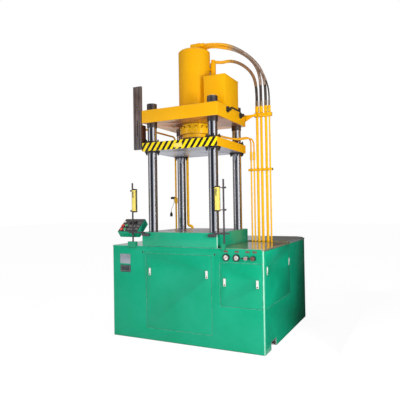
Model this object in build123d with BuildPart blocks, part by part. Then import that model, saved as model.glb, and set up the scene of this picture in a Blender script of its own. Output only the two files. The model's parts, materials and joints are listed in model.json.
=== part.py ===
# Four-column hydraulic press on a cabinet base, in millimetres.
# +Z is up, +X is the operator's right, and the operator stands on the -Y side.
# The origin is on the floor, on the axis of the ram.
import os
from math import atan2, cos, pi, radians, sin, tan

from build123d import *

os.makedirs("parts", exist_ok=True)

# Cabinet base, measured from the ram axis
base_left = 850
base_right = 925
base_front = 430
base_back = 1290
back_corner = 90
front_edge_radius = 20
table_height = 1000
cabinet_sheet = 4
cover_sheet = 3
cover_rim = 18
cover_fit = 0.3
rear_cover_step = 10
rear_cover_front = 490
notch_width = 170
notch_height = 80
notch_centre_y = -156

# Floor frame and pedestal
skid_height = 100
skid_width = 60
skid_plate = 6
skid_fit = 0.5
beam_width = 60
beam_rows = (-300, 0, 300, 600, 880, 1150)
pedestal_plate = 20

# Lift-off panels and their plane latches
panel_sheet = 3
panel_gap = 3
panel_seat_gap = 0.3
seat_flange = 16
front_panel_left = -400
front_panel_right = 370
front_panel_bottom = 130
front_panel_top = 920
door_left = 468
door_right = 904
door_bottom = 431
door_top = 856
side_panel_front = -395
side_panel_back = 485
side_panel_top = 977
latch_width = 36
latch_height = 90
latch_plate = 4
latch_recess_depth = 24
latch_inset = 48
latch_drop = 190
latch_stem = 8
latch_running_gap = 0.3
cam_edge_gap = 5

# Bed: its sides, front and back measured from the column axes
bed_side_margin = 78
bed_front_margin = 105
bed_back_margin = 108
bed_thickness = 150
bed_edge = 3
bed_cover_gap = 1
tapped_hole_radius = 8.75
tapped_hole_depth = 40
tapped_spacing_x = 500
tapped_spacing_y = 400
bed_centre_bore = 30
lifting_hole_radius = 10
lifting_hole_x = 427
lifting_hole_drop = 65

# Columns and ring nuts
column_radius = 50
column_half_x = 366
column_half_y = 327
column_fit = 0.3
column_tip = 4
nut_radius = 55
nut_height = 72
lower_nut_height = 50
nut_slots = 6
nut_slot_width = 10
nut_slot_depth = 4

# Crown: its sides and ends measured from the column axes, and its height over the raised platen
crown_clearance = 216
crown_side_margin = 87
crown_end_margin = 76
crown_thickness = 140
crown_edge = 4

# Main cylinder, gland and ram
cylinder_radius = 178
cylinder_height = 686
cylinder_edge = 14
neck_radius = 145
neck_fit = 0.3
neck_drop = 54
flange_radius = 172
flange_thickness = 40
bore_radius = 110.3
bore_end_thickness = 45
piston_radius = 110
piston_length = 140
piston_end_gap = 20
rod_radius = 90
rod_fit = 0.08
gland_radius = 145
gland_flange_thickness = 20
gland_thickness = 60
gland_bolts = 12
gland_bolt_circle = 159
gland_bolt_shank = 8
gland_bolt_radius = 13
gland_bolt_head = 20
gland_bolt_tip = 12
bolt_fit = 0.3
rod_flange_radius = 135
rod_flange_thickness = 28
rod_bolts = 8
rod_bolt_circle = 113
rod_bolt_radius = 12
rod_bolt_shank = 8
rod_bolt_head = 12
rod_bolt_depth = 30

# Platen and its guide bushes
open_height = 874
platen_side_margin = 83
platen_end_margin = 78
platen_thickness = 94
platen_edge = 3
bush_radius = 66
bush_length = 40
bush_seat_depth = 1
bush_seat_rim = 2
bush_flange_radius = 82
bush_flange_thickness = 14
bush_running_gap = 0.08
bush_bolts = 6
bush_bolt_radius = 8
bush_bolt_head = 18
bush_bolt_circle = 73
bush_bolt_shank = 4.5
bush_bolt_depth = 16

# Port block on the cylinder and the side adaptor
port_block_x = 50
port_block_length = 120
port_block_width = 150
port_block_height = 38
port_neck_radius = 45
port_neck_height = 28
port_spacing = 50
port_fitting_radius = 20
port_fitting_length = 40
adaptor_angle = 20.7
adaptor_radius = 32
adaptor_gap = 2
adaptor_drop = 136
adaptor_height = 137
adaptor_elbow_radius = 22
adaptor_edge_recess = 8
adaptor_elbow_height = 38
adaptor_outlet_radius = 17
adaptor_outlet_length = 46
adaptor_outlet_angle = 46
lower_port_rise = 35
lower_port_y = (-24, 24)
lower_port_radius = 14
lower_port_reach = 190

# Valve box on the crown
valve_box_left = 186
valve_box_right = 433
valve_box_front = -150
valve_box_depth = 382
valve_box_height = 348
valve_box_wall = 3
valve_box_lid = 14
valve_box_lid_step = 2

# Black fittings on the crown's right face
plug_rows = (-139, 235)
plug_drop = 37
plug_flange_radius = 33
plug_flange_thickness = 14
plug_neck_radius = 18
plug_neck_length = 30
conduit_width = 15
conduit_height = 20
conduit_front = 10
conduit_back = 240

# Rigid pressure pipes: across the machine, radius and top of each
pipe_row_margin = 138
thick_pipe_x = (574, 624, 681)
thin_pipe_x = 723
short_pipe_x = (492, 529)
thick_pipe_radius = 15
thin_pipe_radius = 9
long_pipe_rise = 23
socket_height = 72
socket_rim = 5
short_pipe_drop = 264
short_socket_height = 96
pipe_collar_rim = 6
pipe_collar_height = 10
pipe_hole_gap = 2
ferrule_height = 64
ferrule_rim = 2

# Pipe clamps
clamp_left = 543
clamp_right = 750
clamp_height = 42
clamp_drop = 6
clamp_half_depth = 24
clamp_fit = 0.3
clamp_arm_plate = 14
clamp_arm_root_height = 76
clamp_arm_reach = 42
clamp_pad_width = 72
clamp_pad_inset = 1
lower_clamp_left = 462
lower_clamp_height = 26
lower_clamp_drop = 117
clamp_bolt_x = (599, 652, 704)
lower_clamp_bolt_x = 510.5
clamp_bolt_radius = 8
clamp_bolt_head = 8

# Hoses
thick_hose_radius = 16
thin_hose_radius = 9

# Limit-switch rail, switch and trip bracket
rail_crown_gap = 7
rail_trip_gap = 3
rail_width = 100
rail_depth = 30
rail_foot_drop = 284
rail_head_rise = 271
rail_groove = 8
rail_groove_depth = 6
rail_slot_width = 12
rail_slot_drop = 138
rail_slot_length = 174
rail_hole_radius = 7
rail_hole_rise = 46
rail_bracket_plate = 8
rail_bracket_rise = 51
rail_bracket_height = 70
rail_bracket_depth = 80
switch_width = 34
switch_depth = 56
switch_height = 78
switch_drop = 16
switch_inset = 14
lever_pivot_radius = 6
lever_pivot_depth = 15
lever_pivot_rise = 26
lever_pivot_back = 35
lever_length = 40
lever_width = 12
lever_thickness = 6
lever_gap = 0.3
roller_radius = 10
roller_width = 8
trip_plate = 8
trip_inset = 5
trip_depth = 76
trip_foot_rise = 10
trip_crown_gap = 16
trip_dog_height = 34
trip_dog_overlap = 6
trip_dog_depth = 36
trip_dog_rise = 98

# Yellow pipes at the rear left
riser_inset = 32
rear_pipe_step = 1
riser_radius = 11
riser_run_drop = 31
riser_run_front = -300
riser_bend = 60
return_x = -356
return_radius = 16
return_top_rise = 20
return_bottom_rise = 28
return_end_x = -299
return_bend = 27
return_upper_bend = 45
pipe_foot_depth = 40
clip_rise = 312
clip_height = 70
clip_width = 30
wedge_length = 58
wedge_height = 30
wedge_depth = 24

# Sensor lead, with its plug
lead_radius = 2.5
lead_route = [(-558, 466, 1516), (-558, 466, 1492), (-561, 466, 1466), (-567, 465, 1443),
              (-577, 464, 1424), (-588, 463, 1405), (-597, 460, 1380), (-597, 460, 1357)]
plug_length = 62
plug_radius = 17
plug_waist = 12

# Light curtains: body, post, bar and clamps on each side, in front of the moving platen
curtain_rise = 212
curtain_length = 258
curtain_width = 42
curtain_depth = 44
curtain_cap = 12
curtain_cap_edge = 6
curtain_platen_gap = 4
left_curtain_offset = 40
right_curtain_offset = 56
left_post_margin = 134
left_post_y = -414
right_post_margin = 67
right_post_y = -412
post_radius = 9
post_height = 685
left_foot_width = 100
right_foot_width = 34
foot_depth = 24
foot_height = 44
foot_lip_thickness = 14
foot_lip_drop = 20
stud_radius = 4
stud_rises = (17, 238)
stud_collar_radius = 10.8
stud_collar_height = 20
knob_radius = 9
knob_length = 16
bar_size = 16
bar_drop = 12
bar_gap = 2
block_height = 28
block_depth = 22
block_width = 87
block_inset = 7
left_bar_end = 34
right_bar_end = 67
bar_overlap = 22
bar_clamp_half = 18

# Console
console_width = 270
console_slope = 39.6
console_length = 218
console_thickness = 75
console_front_y = -400
console_drop = 4
console_edge = 10
console_wall = 3
console_panel_inset = 8
console_panel_thickness = 3
arm_length = 86
arm_drop = 33
arm_height = 18
arm_front = -372
arm_depth = 30
gusset_plate = 8
gusset_drop = 89
gusset_width = 60

# Console controls: across from the panel's left edge, up the slope, and sizes
button_head_radius = 19
button_head_height = 14
button_neck_radius = 11
button_travel = 6
button_end_gap = 0.3
button_collar_rim = 3
button_collar_height = 4
mushroom_spots = ((31, 94), (42, 34))
push_spots = ((83, 90), (89, 32))
push_head_radius = 13
control_fit = 0.08
lamp_spot = (27, 158)
lamp_radius = 12
lamp_height = 12
selector_spots = ((108, 146), (148, 143), (176, 156))
selector_radius = 15
selector_height = 10
selector_grip = 9
selector_shaft_radius = 6
label_spots = ((130, 92), (180, 92), (232, 146), (232, 92), (130, 44), (180, 44), (232, 44))
label_width = 34
label_depth = 20
label_height = 3

# Gauges and knobs on the cabinet's front
control_height = 910
gauge_x = (537, 645)
gauge_radius = 34.5
gauge_rim = 4
gauge_front_depth = 14
gauge_case_radius = 30
gauge_case_depth = 36
gauge_dial_recess = 8
needle_length = 23
needle_width = 2.4
needle_thickness = 1.2
needle_gap = 0.4
needle_hub_radius = 4
needle_hub_height = 3
needle_shaft_radius = 1.5
needle_shaft_depth = 5
relief_knob_x = 749
relief_hub_radius = 20
relief_hub_length = 34
relief_wing_span = 92
relief_wing_width = 13
relief_wing_depth = 12
flow_knob_x = 818
flow_knob_radius = 23
flow_knob_length = 28
flow_knob_cap = 8
knob_stem_radius = 8
knob_shaft_gap = 0.08
knob_stem_depth = 20
knob_collar_rim = 4
knob_collar_height = 5

# Bare plates where the maker's text would be: left, bottom, width and height
plate_thickness = 1.5
plate_spots = ((-743, 801, 138, 106), (-740, 708, 138, 78), (514, 961, 42, 18), (629, 961, 42, 18),
               (738, 961, 42, 18), (812, 961, 42, 18))

# Power unit inside the right of the cabinet
tank_left = 462
tank_right = 900
tank_front = 400
tank_back = 1190
tank_height = 500
tank_wall = 5
manifold_margin = 24
manifold_depth = 80
manifold_height = 120
motor_radius = 105
motor_length = 330
motor_foot = 40
motor_foot_width = 150
motor_front = 790
motor_x = 680
bell_radius = 85
bell_length = 90
pump_radius = 60
pump_length = 140

# Plates round the columns
bed_width = 2 * (column_half_x + bed_side_margin)
bed_front = column_half_y + bed_front_margin
bed_back = column_half_y + bed_back_margin
crown_width = 2 * (column_half_x + crown_side_margin)
crown_depth = 2 * (column_half_y + crown_end_margin)
platen_width = 2 * (column_half_x + platen_side_margin)
platen_depth = 2 * (column_half_y + platen_end_margin)

# Levels, from the floor up
column_bottom = table_height - nut_height
bed_top = table_height + bed_thickness
platen_bottom = bed_top + open_height
platen_top = platen_bottom + platen_thickness
crown_bottom = platen_top + crown_clearance
crown_top = crown_bottom + crown_thickness
column_top = crown_top + nut_height + column_tip
neck_bottom = crown_bottom - neck_drop
flange_bottom = neck_bottom - flange_thickness
gland_bottom = flange_bottom - gland_thickness
lower_port_height = gland_bottom + lower_port_rise
cylinder_top = crown_top + cylinder_height
adaptor_top = cylinder_top - adaptor_drop
adaptor_bottom = adaptor_top - adaptor_height
bore_end = cylinder_top - bore_end_thickness
piston_top = bore_end - piston_end_gap
port_bottom = cylinder_top + port_neck_height
port_height = port_bottom + port_block_height / 2
tank_top = skid_height + tank_height
manifold_top = tank_top + manifold_height

# Places of what stands beside the columns
pipe_row_y = column_half_y + pipe_row_margin
long_pipe_top = crown_top + long_pipe_rise
short_pipe_top = lower_port_height - short_pipe_drop
clamp_centre_z = crown_top - clamp_drop
lower_clamp_z = short_pipe_top - lower_clamp_drop
clamp_pad_right = crown_width / 2 - clamp_pad_inset
clamp_pad_left = clamp_pad_right - clamp_pad_width
rail_right = -max(crown_width / 2 + rail_crown_gap, platen_width / 2 + trip_plate + rail_trip_gap)
rail_left = rail_right - rail_width
rail_front = -crown_depth / 2
rail_bottom = crown_bottom - rail_foot_drop
rail_top = crown_top + rail_head_rise
rail_slot_bottom = crown_bottom - rail_slot_drop
rail_hole_z = crown_top + rail_hole_rise
rail_bracket_bottom = crown_bottom + rail_bracket_rise
trip_front = trip_inset - platen_depth / 2
trip_bottom = platen_bottom + trip_foot_rise
trip_top = crown_bottom - trip_crown_gap
trip_dog_z = platen_top + trip_dog_rise
switch_bottom = trip_dog_z - switch_drop
switch_right = rail_right - switch_inset
riser_x = rail_left + riser_inset
riser_y = pipe_row_y + rear_pipe_step
riser_run_z = crown_bottom - riser_run_drop
return_y = riser_y
return_top = gland_bottom + return_top_rise
return_bottom = bed_top + return_bottom_rise
clip_bottom = bed_top + clip_rise
left_post_x = -bed_width / 2 - left_post_margin
right_post_x = bed_width / 2 + right_post_margin
left_curtain_x = left_post_x + left_curtain_offset
right_curtain_x = right_post_x - right_curtain_offset
curtain_y = -platen_depth / 2 - curtain_platen_gap - curtain_depth / 2
curtain_bottom = bed_top + curtain_rise
post_top = table_height + post_height
stud_heights = [curtain_bottom + stud_rise for stud_rise in stud_rises]
bar_bottom = bed_top - bar_drop
left_block_left = block_inset - bed_width / 2
right_block_left = bed_width / 2 - block_inset - block_width
left_bar_left = left_post_x - left_bar_end
right_bar_right = right_post_x + right_bar_end
console_left = -bed_width / 2 - arm_length - console_width
console_front_z = bed_top - console_drop
arm_bottom = bed_top - arm_drop
gusset_bottom = bed_top - gusset_drop

# The cabinet's width, middle and inner faces
base_width = base_left + base_right
base_centre_x = (base_right - base_left) / 2
cover_underside = table_height - cover_sheet
shell_inset = cover_sheet + cover_fit
shell_right = base_right - shell_inset
plane_up = (Align.CENTER, Align.CENTER, Align.MIN)


def finish(piece, name):
    """Labels a finished piece and writes it to its own STEP file."""
    piece.part.label = name
    export_step(piece.part, f"parts/{name}.step")


def gather(name, *pieces):
    """Writes several pieces to one file as separate solids."""
    group = Compound(children=[solid for piece in pieces for solid in piece.part.solids()])
    group.label = name
    export_step(group, f"parts/{name}.step")


def block(low, high, mode=Mode.ADD):
    """A rectangular block between two opposite corners, in the part being built."""
    size = [top - bottom for bottom, top in zip(low, high)]
    with Locations(tuple(low)):
        return Box(*size, align=(Align.MIN, Align.MIN, Align.MIN), mode=mode)


def disc(centre, radius, height, mode=Mode.ADD):
    """An upright cylinder that stands on a centre point, in the part being built."""
    with Locations(tuple(centre)):
        return Cylinder(radius, height, align=plane_up, mode=mode)


def facing_front(x, z, y=-base_front):
    """A sketch plane on a front wall: x to the right, y up, its normal towards the operator."""
    return Plane(origin=(x, y, z), x_dir=(1, 0, 0), z_dir=(0, -1, 0))


def facing_right(y, z, x):
    """A sketch plane on a right wall: x to the back, y up, its normal towards +X."""
    return Plane(origin=(x, y, z), x_dir=(0, 1, 0), z_dir=(1, 0, 0))


def round_bar(plane, radius, near, far, mode=Mode.ADD):
    """A cylinder along a plane's normal, from one distance off the plane to another."""
    with Locations(plane.offset(min(near, far))):
        return Cylinder(radius, abs(far - near), align=plane_up, mode=mode)


def swept_bar(points, radius, bends):
    """A round bar along straight runs with tangent bends, as a part of its own, and its length."""
    with BuildPart() as bar:
        with BuildLine() as route:
            FilletPolyline(*points, radius=bends)
        with BuildSketch(Plane(origin=points[0], z_dir=Vector(points[1]) - Vector(points[0]))):
            Circle(radius)
        sweep()
    return bar, sum(edge.length for edge in route.edges())


def bend_radii(points):
    """For each corner, 0.45 of its shorter run over the tangent of half the turn."""
    radii = []
    for before, corner, after in zip(points, points[1:], points[2:]):
        run_in = Vector(corner) - Vector(before)
        run_out = Vector(after) - Vector(corner)
        half_turn = radians(run_in.get_angle(run_out) / 2)
        radii.append(0.45 * min(run_in.length, run_out.length) / tan(half_turn))
    return radii


def cord(name, points, radius):
    """A hose or lead along its route, written to its own file; prints its length and bends."""
    radii = bend_radii(points)
    piece, length = swept_bar(points, radius, radii)
    filled = piece.part.volume / (pi * radius ** 2 * length)
    print(f"{name}: length {length:.0f}, radii {[round(value) for value in radii]}, fill {filled:.4f}")
    finish(piece, name)


def column_spots():
    """The four column positions, round the place where the next shapes go."""
    return GridLocations(2 * column_half_x, 2 * column_half_y, 2, 2)


def base_outline(inset, front_inset):
    """The cabinet's plan, with rounded front edges and cut back corners, drawn inside by insets."""
    left = -base_left + inset
    right = base_right - inset
    front = -base_front + front_inset
    back = base_back - inset
    with BuildSketch(mode=Mode.PRIVATE) as outline:
        with BuildLine():
            Polyline((left, front), (right, front), (right, back - back_corner),
                     (right - back_corner, back), (left + back_corner, back),
                     (left, back - back_corner), close=True)
        make_face()
        fillet(outline.vertices().group_by(Axis.Y)[0], front_edge_radius - front_inset)
    return outline.sketch


# Floor frame: channel ring, cross beams and the pedestal that carries the bed
frame_inset = shell_inset + cabinet_sheet + skid_fit
frame_left = -base_left + frame_inset
frame_right = base_right - frame_inset
frame_front = -base_front + cabinet_sheet + skid_fit
with BuildPart() as base_frame:
    for level, height, inward in ((0, skid_plate, skid_width), (0, skid_height, skid_plate),
                                  (skid_height - skid_plate, skid_plate, skid_width)):
        with BuildSketch(Plane.XY.offset(level)):
            add(base_outline(frame_inset, cabinet_sheet + skid_fit))
            offset(amount=-inward, kind=Kind.INTERSECTION, mode=Mode.SUBTRACT)
        extrude(amount=height)
    for row in beam_rows:
        block((frame_left + skid_plate, row - beam_width / 2, 0),
              (frame_right - skid_plate, row + beam_width / 2, skid_height))
        block((frame_left + skid_width, row - beam_width / 2 + skid_plate, skid_plate),
              (frame_right - skid_width, row + beam_width / 2 - skid_plate, skid_height - skid_plate),
              mode=Mode.SUBTRACT)
    for side in (-1, 1):
        inner = side * (bed_width / 2 - pedestal_plate)
        outer = side * bed_width / 2
        block((min(inner, outer), frame_front + skid_width, skid_height - skid_plate),
              (max(inner, outer), bed_back, table_height))
    block((-bed_width / 2, bed_back - pedestal_plate, 0), (bed_width / 2, bed_back, table_height))
    block((frame_right - skid_width, notch_centre_y - notch_width / 2, 0),
          (frame_right, notch_centre_y + notch_width / 2, notch_height), mode=Mode.SUBTRACT)
finish(base_frame, "base_frame")

# Bed plate
with BuildPart() as bed:
    block((-bed_width / 2, -bed_front, table_height), (bed_width / 2, bed_back, bed_top))
    chamfer(bed.faces().sort_by(Axis.Z)[-1].edges(), bed_edge)
    with Locations((0, 0, bed_top)):
        with column_spots():
            Hole(column_radius + column_fit)
        Hole(bed_centre_bore)
        with GridLocations(tapped_spacing_x, tapped_spacing_y, 2, 2):
            Hole(tapped_hole_radius, tapped_hole_depth)
finish(bed, "bed")

# Lift-off panels: the wall plane at the panel's centre, its width and its height
front_panel_centre = ((front_panel_left + front_panel_right) / 2, (front_panel_bottom + front_panel_top) / 2)
door_centre = ((door_left + door_right) / 2, (door_bottom + door_top) / 2)
side_panel_centre = ((side_panel_front + side_panel_back) / 2, (door_bottom + side_panel_top) / 2)
panels = (("front_panel", facing_front(*front_panel_centre), front_panel_right - front_panel_left,
           front_panel_top - front_panel_bottom),
          ("right_door", facing_front(*door_centre), door_right - door_left, door_top - door_bottom),
          ("side_panel", facing_right(*side_panel_centre, shell_right), side_panel_back - side_panel_front,
           side_panel_top - door_bottom))
seat_depth = panel_sheet + panel_seat_gap

# Cabinet shell, with a seat flange behind each opening
with BuildPart() as cabinet_shell:
    with BuildSketch():
        add(base_outline(shell_inset, 0))
    extrude(amount=cover_underside)
    with BuildSketch():
        add(base_outline(shell_inset + cabinet_sheet, cabinet_sheet))
    extrude(amount=cover_underside, mode=Mode.SUBTRACT)
    for name, plane, width, height in panels:
        with BuildSketch(plane):
            Rectangle(width + 2 * panel_gap, height + 2 * panel_gap)
        extrude(amount=-2 * cabinet_sheet, mode=Mode.SUBTRACT)
        with BuildSketch(plane.offset(-seat_depth)):
            Rectangle(width + 2 * panel_gap + seat_flange, height + 2 * panel_gap + seat_flange)
            Rectangle(width + 2 * panel_gap - 2 * seat_flange, height + 2 * panel_gap - 2 * seat_flange,
                      mode=Mode.SUBTRACT)
        extrude(amount=-cabinet_sheet)
    for x in gauge_x:
        round_bar(facing_front(x, control_height), gauge_case_radius + cover_fit, -2 * cabinet_sheet, 1,
                  Mode.SUBTRACT)
    for x in (relief_knob_x, flow_knob_x):
        round_bar(facing_front(x, control_height), knob_stem_radius + knob_shaft_gap, -2 * cabinet_sheet,
                  1, Mode.SUBTRACT)
    for side in (-1, 1):
        round_bar(facing_front(front_panel_centre[0] + side * lifting_hole_x, table_height - lifting_hole_drop),
                  lifting_hole_radius, -2 * cabinet_sheet, 1, Mode.SUBTRACT)
    block((shell_right - skid_width, notch_centre_y - notch_width / 2, 0),
          (shell_right, notch_centre_y + notch_width / 2, notch_height), mode=Mode.SUBTRACT)
finish(cabinet_shell, "cabinet_shell")

# Top covers: left, right and rear, with the raised rear plate and holes for the pipes
pressure_pipe_list = [(x, thick_pipe_radius, long_pipe_top, socket_height) for x in thick_pipe_x]
pressure_pipe_list += [(thin_pipe_x, thin_pipe_radius, long_pipe_top, socket_height)]
pressure_pipe_list += [(x, thin_pipe_radius, short_pipe_top, short_socket_height) for x in short_pipe_x]
with BuildPart() as top_covers:
    with BuildSketch(Plane.XY.offset(cover_underside)):
        add(base_outline(0, 0))
    extrude(amount=cover_sheet)
    with BuildSketch(Plane.XY.offset(table_height - cover_rim)):
        add(base_outline(0, 0))
        add(base_outline(cover_sheet, 0), mode=Mode.SUBTRACT)
    extrude(amount=cover_rim - cover_sheet)
    with BuildSketch(Plane.XY.offset(table_height)):
        add(base_outline(cover_rim, 0))
        with Locations((base_centre_x, rear_cover_front)):
            Rectangle(2 * base_width, 2 * base_width, align=(Align.CENTER, Align.MAX), mode=Mode.SUBTRACT)
    extrude(amount=rear_cover_step)
    block((-bed_width / 2 - bed_cover_gap, -base_front - bed_edge, cover_underside),
          (bed_width / 2 + bed_cover_gap, bed_back + bed_cover_gap, table_height), mode=Mode.SUBTRACT)
    block((-base_left, bed_back, table_height - cover_rim),
          (base_right, bed_back + bed_cover_gap, table_height), mode=Mode.SUBTRACT)
    for x, radius, top, socket in pressure_pipe_list:
        disc((x, pipe_row_y, cover_underside), radius + pipe_hole_gap, cover_sheet, Mode.SUBTRACT)
    disc((riser_x, riser_y, cover_underside), riser_radius + pipe_hole_gap, cover_sheet, Mode.SUBTRACT)
    disc((return_end_x, return_y, cover_underside), return_radius + pipe_hole_gap, cover_sheet, Mode.SUBTRACT)
finish(top_covers, "top_covers")

# Panels with fixed latch plates, and the turning latch handles with their cams
handle_start = latch_plate + latch_running_gap
cam_depth = seat_depth + cabinet_sheet + 2 * latch_running_gap
cam_reach = latch_inset - cam_edge_gap
for name, plane, width, height in panels:
    latch_y = height / 2 - latch_drop
    with BuildPart() as panel:
        with BuildSketch(plane):
            Rectangle(width, height)
        extrude(amount=-panel_sheet)
        for end in (-1, 1):
            with BuildSketch(plane.offset(-panel_sheet)):
                with Locations((0, end * (height / 2 + panel_gap - seat_flange - panel_sheet))):
                    Rectangle(width - 2 * latch_inset, panel_sheet)
            extrude(amount=-seat_flange)
            with BuildSketch(plane):
                with Locations((end * (width / 2 - latch_inset), latch_y)):
                    RectangleRounded(latch_width, latch_height, bed_edge)
            extrude(amount=latch_plate)
            with BuildSketch(plane.offset(latch_plate)):
                with Locations((end * (width / 2 - latch_inset), latch_y)):
                    Circle(latch_stem + control_fit)
            extrude(amount=-latch_plate - panel_sheet, mode=Mode.SUBTRACT)
    finish(panel, name)
    for end, side in ((-1, "near"), (1, "far")):
        spot = (end * (width / 2 - latch_inset), latch_y)
        with BuildPart() as handle:
            with BuildSketch(plane.offset(handle_start)):
                with Locations(spot):
                    RectangleRounded(latch_width - 12, latch_height - 14, bed_edge)
            extrude(amount=latch_plate)
            with BuildSketch(plane.offset(handle_start)):
                with Locations(spot):
                    Circle(latch_stem)
            extrude(amount=-handle_start - latch_recess_depth)
            with BuildSketch(plane.offset(-cam_depth)):
                with Locations((spot[0], spot[1] + latch_stem)):
                    Rectangle(2 * latch_stem, cam_reach + latch_stem, align=(Align.CENTER, Align.MAX))
            extrude(amount=-latch_plate)
        finish(handle, f"{name}_latch_{side}")

# Four columns with chamfered ends
with BuildPart() as columns:
    with Locations((0, 0, column_bottom - column_tip)):
        with column_spots():
            Cylinder(column_radius, column_top - column_bottom + column_tip, align=plane_up)
    chamfer(columns.edges().filter_by(GeomType.CIRCLE), column_tip)
finish(columns, "columns")

# Slotted ring nuts over and under the crown and under the bed
with BuildPart() as column_nuts:
    for level, height in ((column_bottom, nut_height), (crown_bottom - lower_nut_height, lower_nut_height),
                          (crown_top, nut_height)):
        with BuildSketch(Plane.XY.offset(level)):
            with column_spots():
                Circle(nut_radius)
                Circle(column_radius + column_fit, mode=Mode.SUBTRACT)
                with PolarLocations(nut_radius, nut_slots):
                    Rectangle(2 * nut_slot_depth, nut_slot_width, mode=Mode.SUBTRACT)
        extrude(amount=height)
finish(column_nuts, "column_nuts")

# Crown
with BuildPart() as crown:
    block((-crown_width / 2, -crown_depth / 2, crown_bottom), (crown_width / 2, crown_depth / 2, crown_top))
    chamfer(crown.edges(), crown_edge)
    with Locations((0, 0, crown_top)):
        with column_spots():
            Hole(column_radius + column_fit)
        Hole(neck_radius + neck_fit)
finish(crown, "crown")

# Main cylinder: barrel on the crown, neck through it, bottom flange, bore and side adaptor
adaptor_reach = cylinder_radius + adaptor_gap + adaptor_radius
adaptor_x = adaptor_reach * cos(radians(adaptor_angle))
adaptor_y = adaptor_reach * sin(radians(adaptor_angle))
adaptor_middle = (adaptor_bottom + adaptor_top) / 2
outlet_z = adaptor_top + adaptor_elbow_height / 2
outlet_direction = (cos(radians(adaptor_outlet_angle)), sin(radians(adaptor_outlet_angle)), 0)
with BuildPart() as main_cylinder:
    disc((0, 0, crown_top), cylinder_radius, cylinder_top - crown_top)
    chamfer(main_cylinder.faces().sort_by(Axis.Z)[-1].edges(), cylinder_edge)
    disc((0, 0, neck_bottom), neck_radius, crown_top - neck_bottom)
    disc((0, 0, flange_bottom), flange_radius, flange_thickness)
    with Locations((0, 0, neck_bottom)):
        with PolarLocations(gland_bolt_circle, gland_bolts):
            Hole(gland_bolt_shank + bolt_fit, flange_thickness)
    disc((adaptor_x, adaptor_y, adaptor_bottom), adaptor_radius, adaptor_top - adaptor_bottom)
    disc((adaptor_x, adaptor_y, adaptor_top), adaptor_elbow_radius, adaptor_elbow_height)
    round_bar(Plane(origin=(adaptor_x, adaptor_y, outlet_z), z_dir=outlet_direction),
              adaptor_outlet_radius, 0, adaptor_outlet_length)
    round_bar(Plane(origin=(0, 0, adaptor_middle), z_dir=(adaptor_x, adaptor_y, 0)), adaptor_elbow_radius,
              cylinder_radius - adaptor_radius, adaptor_reach)
    disc((adaptor_x, adaptor_y, adaptor_bottom), adaptor_elbow_radius, adaptor_edge_recess, Mode.SUBTRACT)
    disc((0, 0, flange_bottom), bore_radius, bore_end - flange_bottom, Mode.SUBTRACT)
finish(main_cylinder, "main_cylinder")

# Gland ring with the two lower ports, and its studs with nuts above the flange
with BuildPart() as gland_ring:
    disc((0, 0, gland_bottom), gland_radius, gland_thickness)
    disc((0, 0, flange_bottom - gland_flange_thickness), flange_radius, gland_flange_thickness)
    for y in lower_port_y:
        round_bar(facing_right(y, lower_port_height, 0), lower_port_radius, rod_radius + lower_port_radius,
                  lower_port_reach)
    disc((0, 0, gland_bottom), rod_radius + rod_fit, gland_thickness, Mode.SUBTRACT)
    with Locations((0, 0, flange_bottom)):
        with PolarLocations(gland_bolt_circle, gland_bolts):
            Hole(gland_bolt_shank + bolt_fit, gland_flange_thickness)
    with Locations((0, 0, flange_bottom - gland_flange_thickness)):
        with PolarLocations(gland_bolt_circle, gland_bolts):
            Cylinder(gland_bolt_shank, gland_flange_thickness + flange_thickness + gland_bolt_head + gland_bolt_tip,
                     align=plane_up)
    with Locations((0, 0, neck_bottom)):
        with PolarLocations(gland_bolt_circle, gland_bolts):
            Cylinder(gland_bolt_radius, gland_bolt_head, align=plane_up)
finish(gland_ring, "gland_ring")

# Piston rod, turned in one piece with its piston and its foot flange, and the flange's bolts
with BuildPart() as piston_rod:
    disc((0, 0, platen_top), rod_flange_radius, rod_flange_thickness)
    disc((0, 0, platen_top), rod_radius, piston_top - platen_top)
    disc((0, 0, piston_top - piston_length), piston_radius, piston_length)
    with Locations((0, 0, platen_top + rod_flange_thickness)):
        with PolarLocations(rod_bolt_circle, rod_bolts):
            Hole(rod_bolt_shank + bolt_fit, rod_flange_thickness)
            Cylinder(rod_bolt_radius, rod_bolt_head, align=plane_up)
    with Locations((0, 0, platen_top - rod_bolt_depth)):
        with PolarLocations(rod_bolt_circle, rod_bolts):
            Cylinder(rod_bolt_shank, rod_bolt_depth + rod_flange_thickness, align=plane_up)
finish(piston_rod, "piston_rod")

# Platen, bored for its guide bushes and the bolts
with BuildPart() as platen:
    block((-platen_width / 2, -platen_depth / 2, platen_bottom), (platen_width / 2, platen_depth / 2, platen_top))
    chamfer(platen.edges(), platen_edge)
    with Locations((0, 0, platen_top)):
        with column_spots():
            Hole(bush_radius + column_fit)
        with PolarLocations(rod_bolt_circle, rod_bolts):
            Hole(rod_bolt_shank + bolt_fit, rod_bolt_depth + bolt_fit)
    for level in (platen_bottom + bush_seat_depth, platen_top - bush_bolt_depth):
        with Locations((0, 0, level)):
            with column_spots():
                with PolarLocations(bush_bolt_circle, bush_bolts):
                    Cylinder(bush_bolt_shank + bolt_fit, bush_bolt_depth, align=plane_up, mode=Mode.SUBTRACT)
    with Locations((0, 0, platen_bottom)):
        with GridLocations(tapped_spacing_x, tapped_spacing_y, 2, 2):
            Cylinder(tapped_hole_radius, tapped_hole_depth, align=plane_up, mode=Mode.SUBTRACT)
        with column_spots():
            Cylinder(bush_flange_radius + bush_seat_rim, bush_seat_depth, align=plane_up, mode=Mode.SUBTRACT)
finish(platen, "platen")

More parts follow.
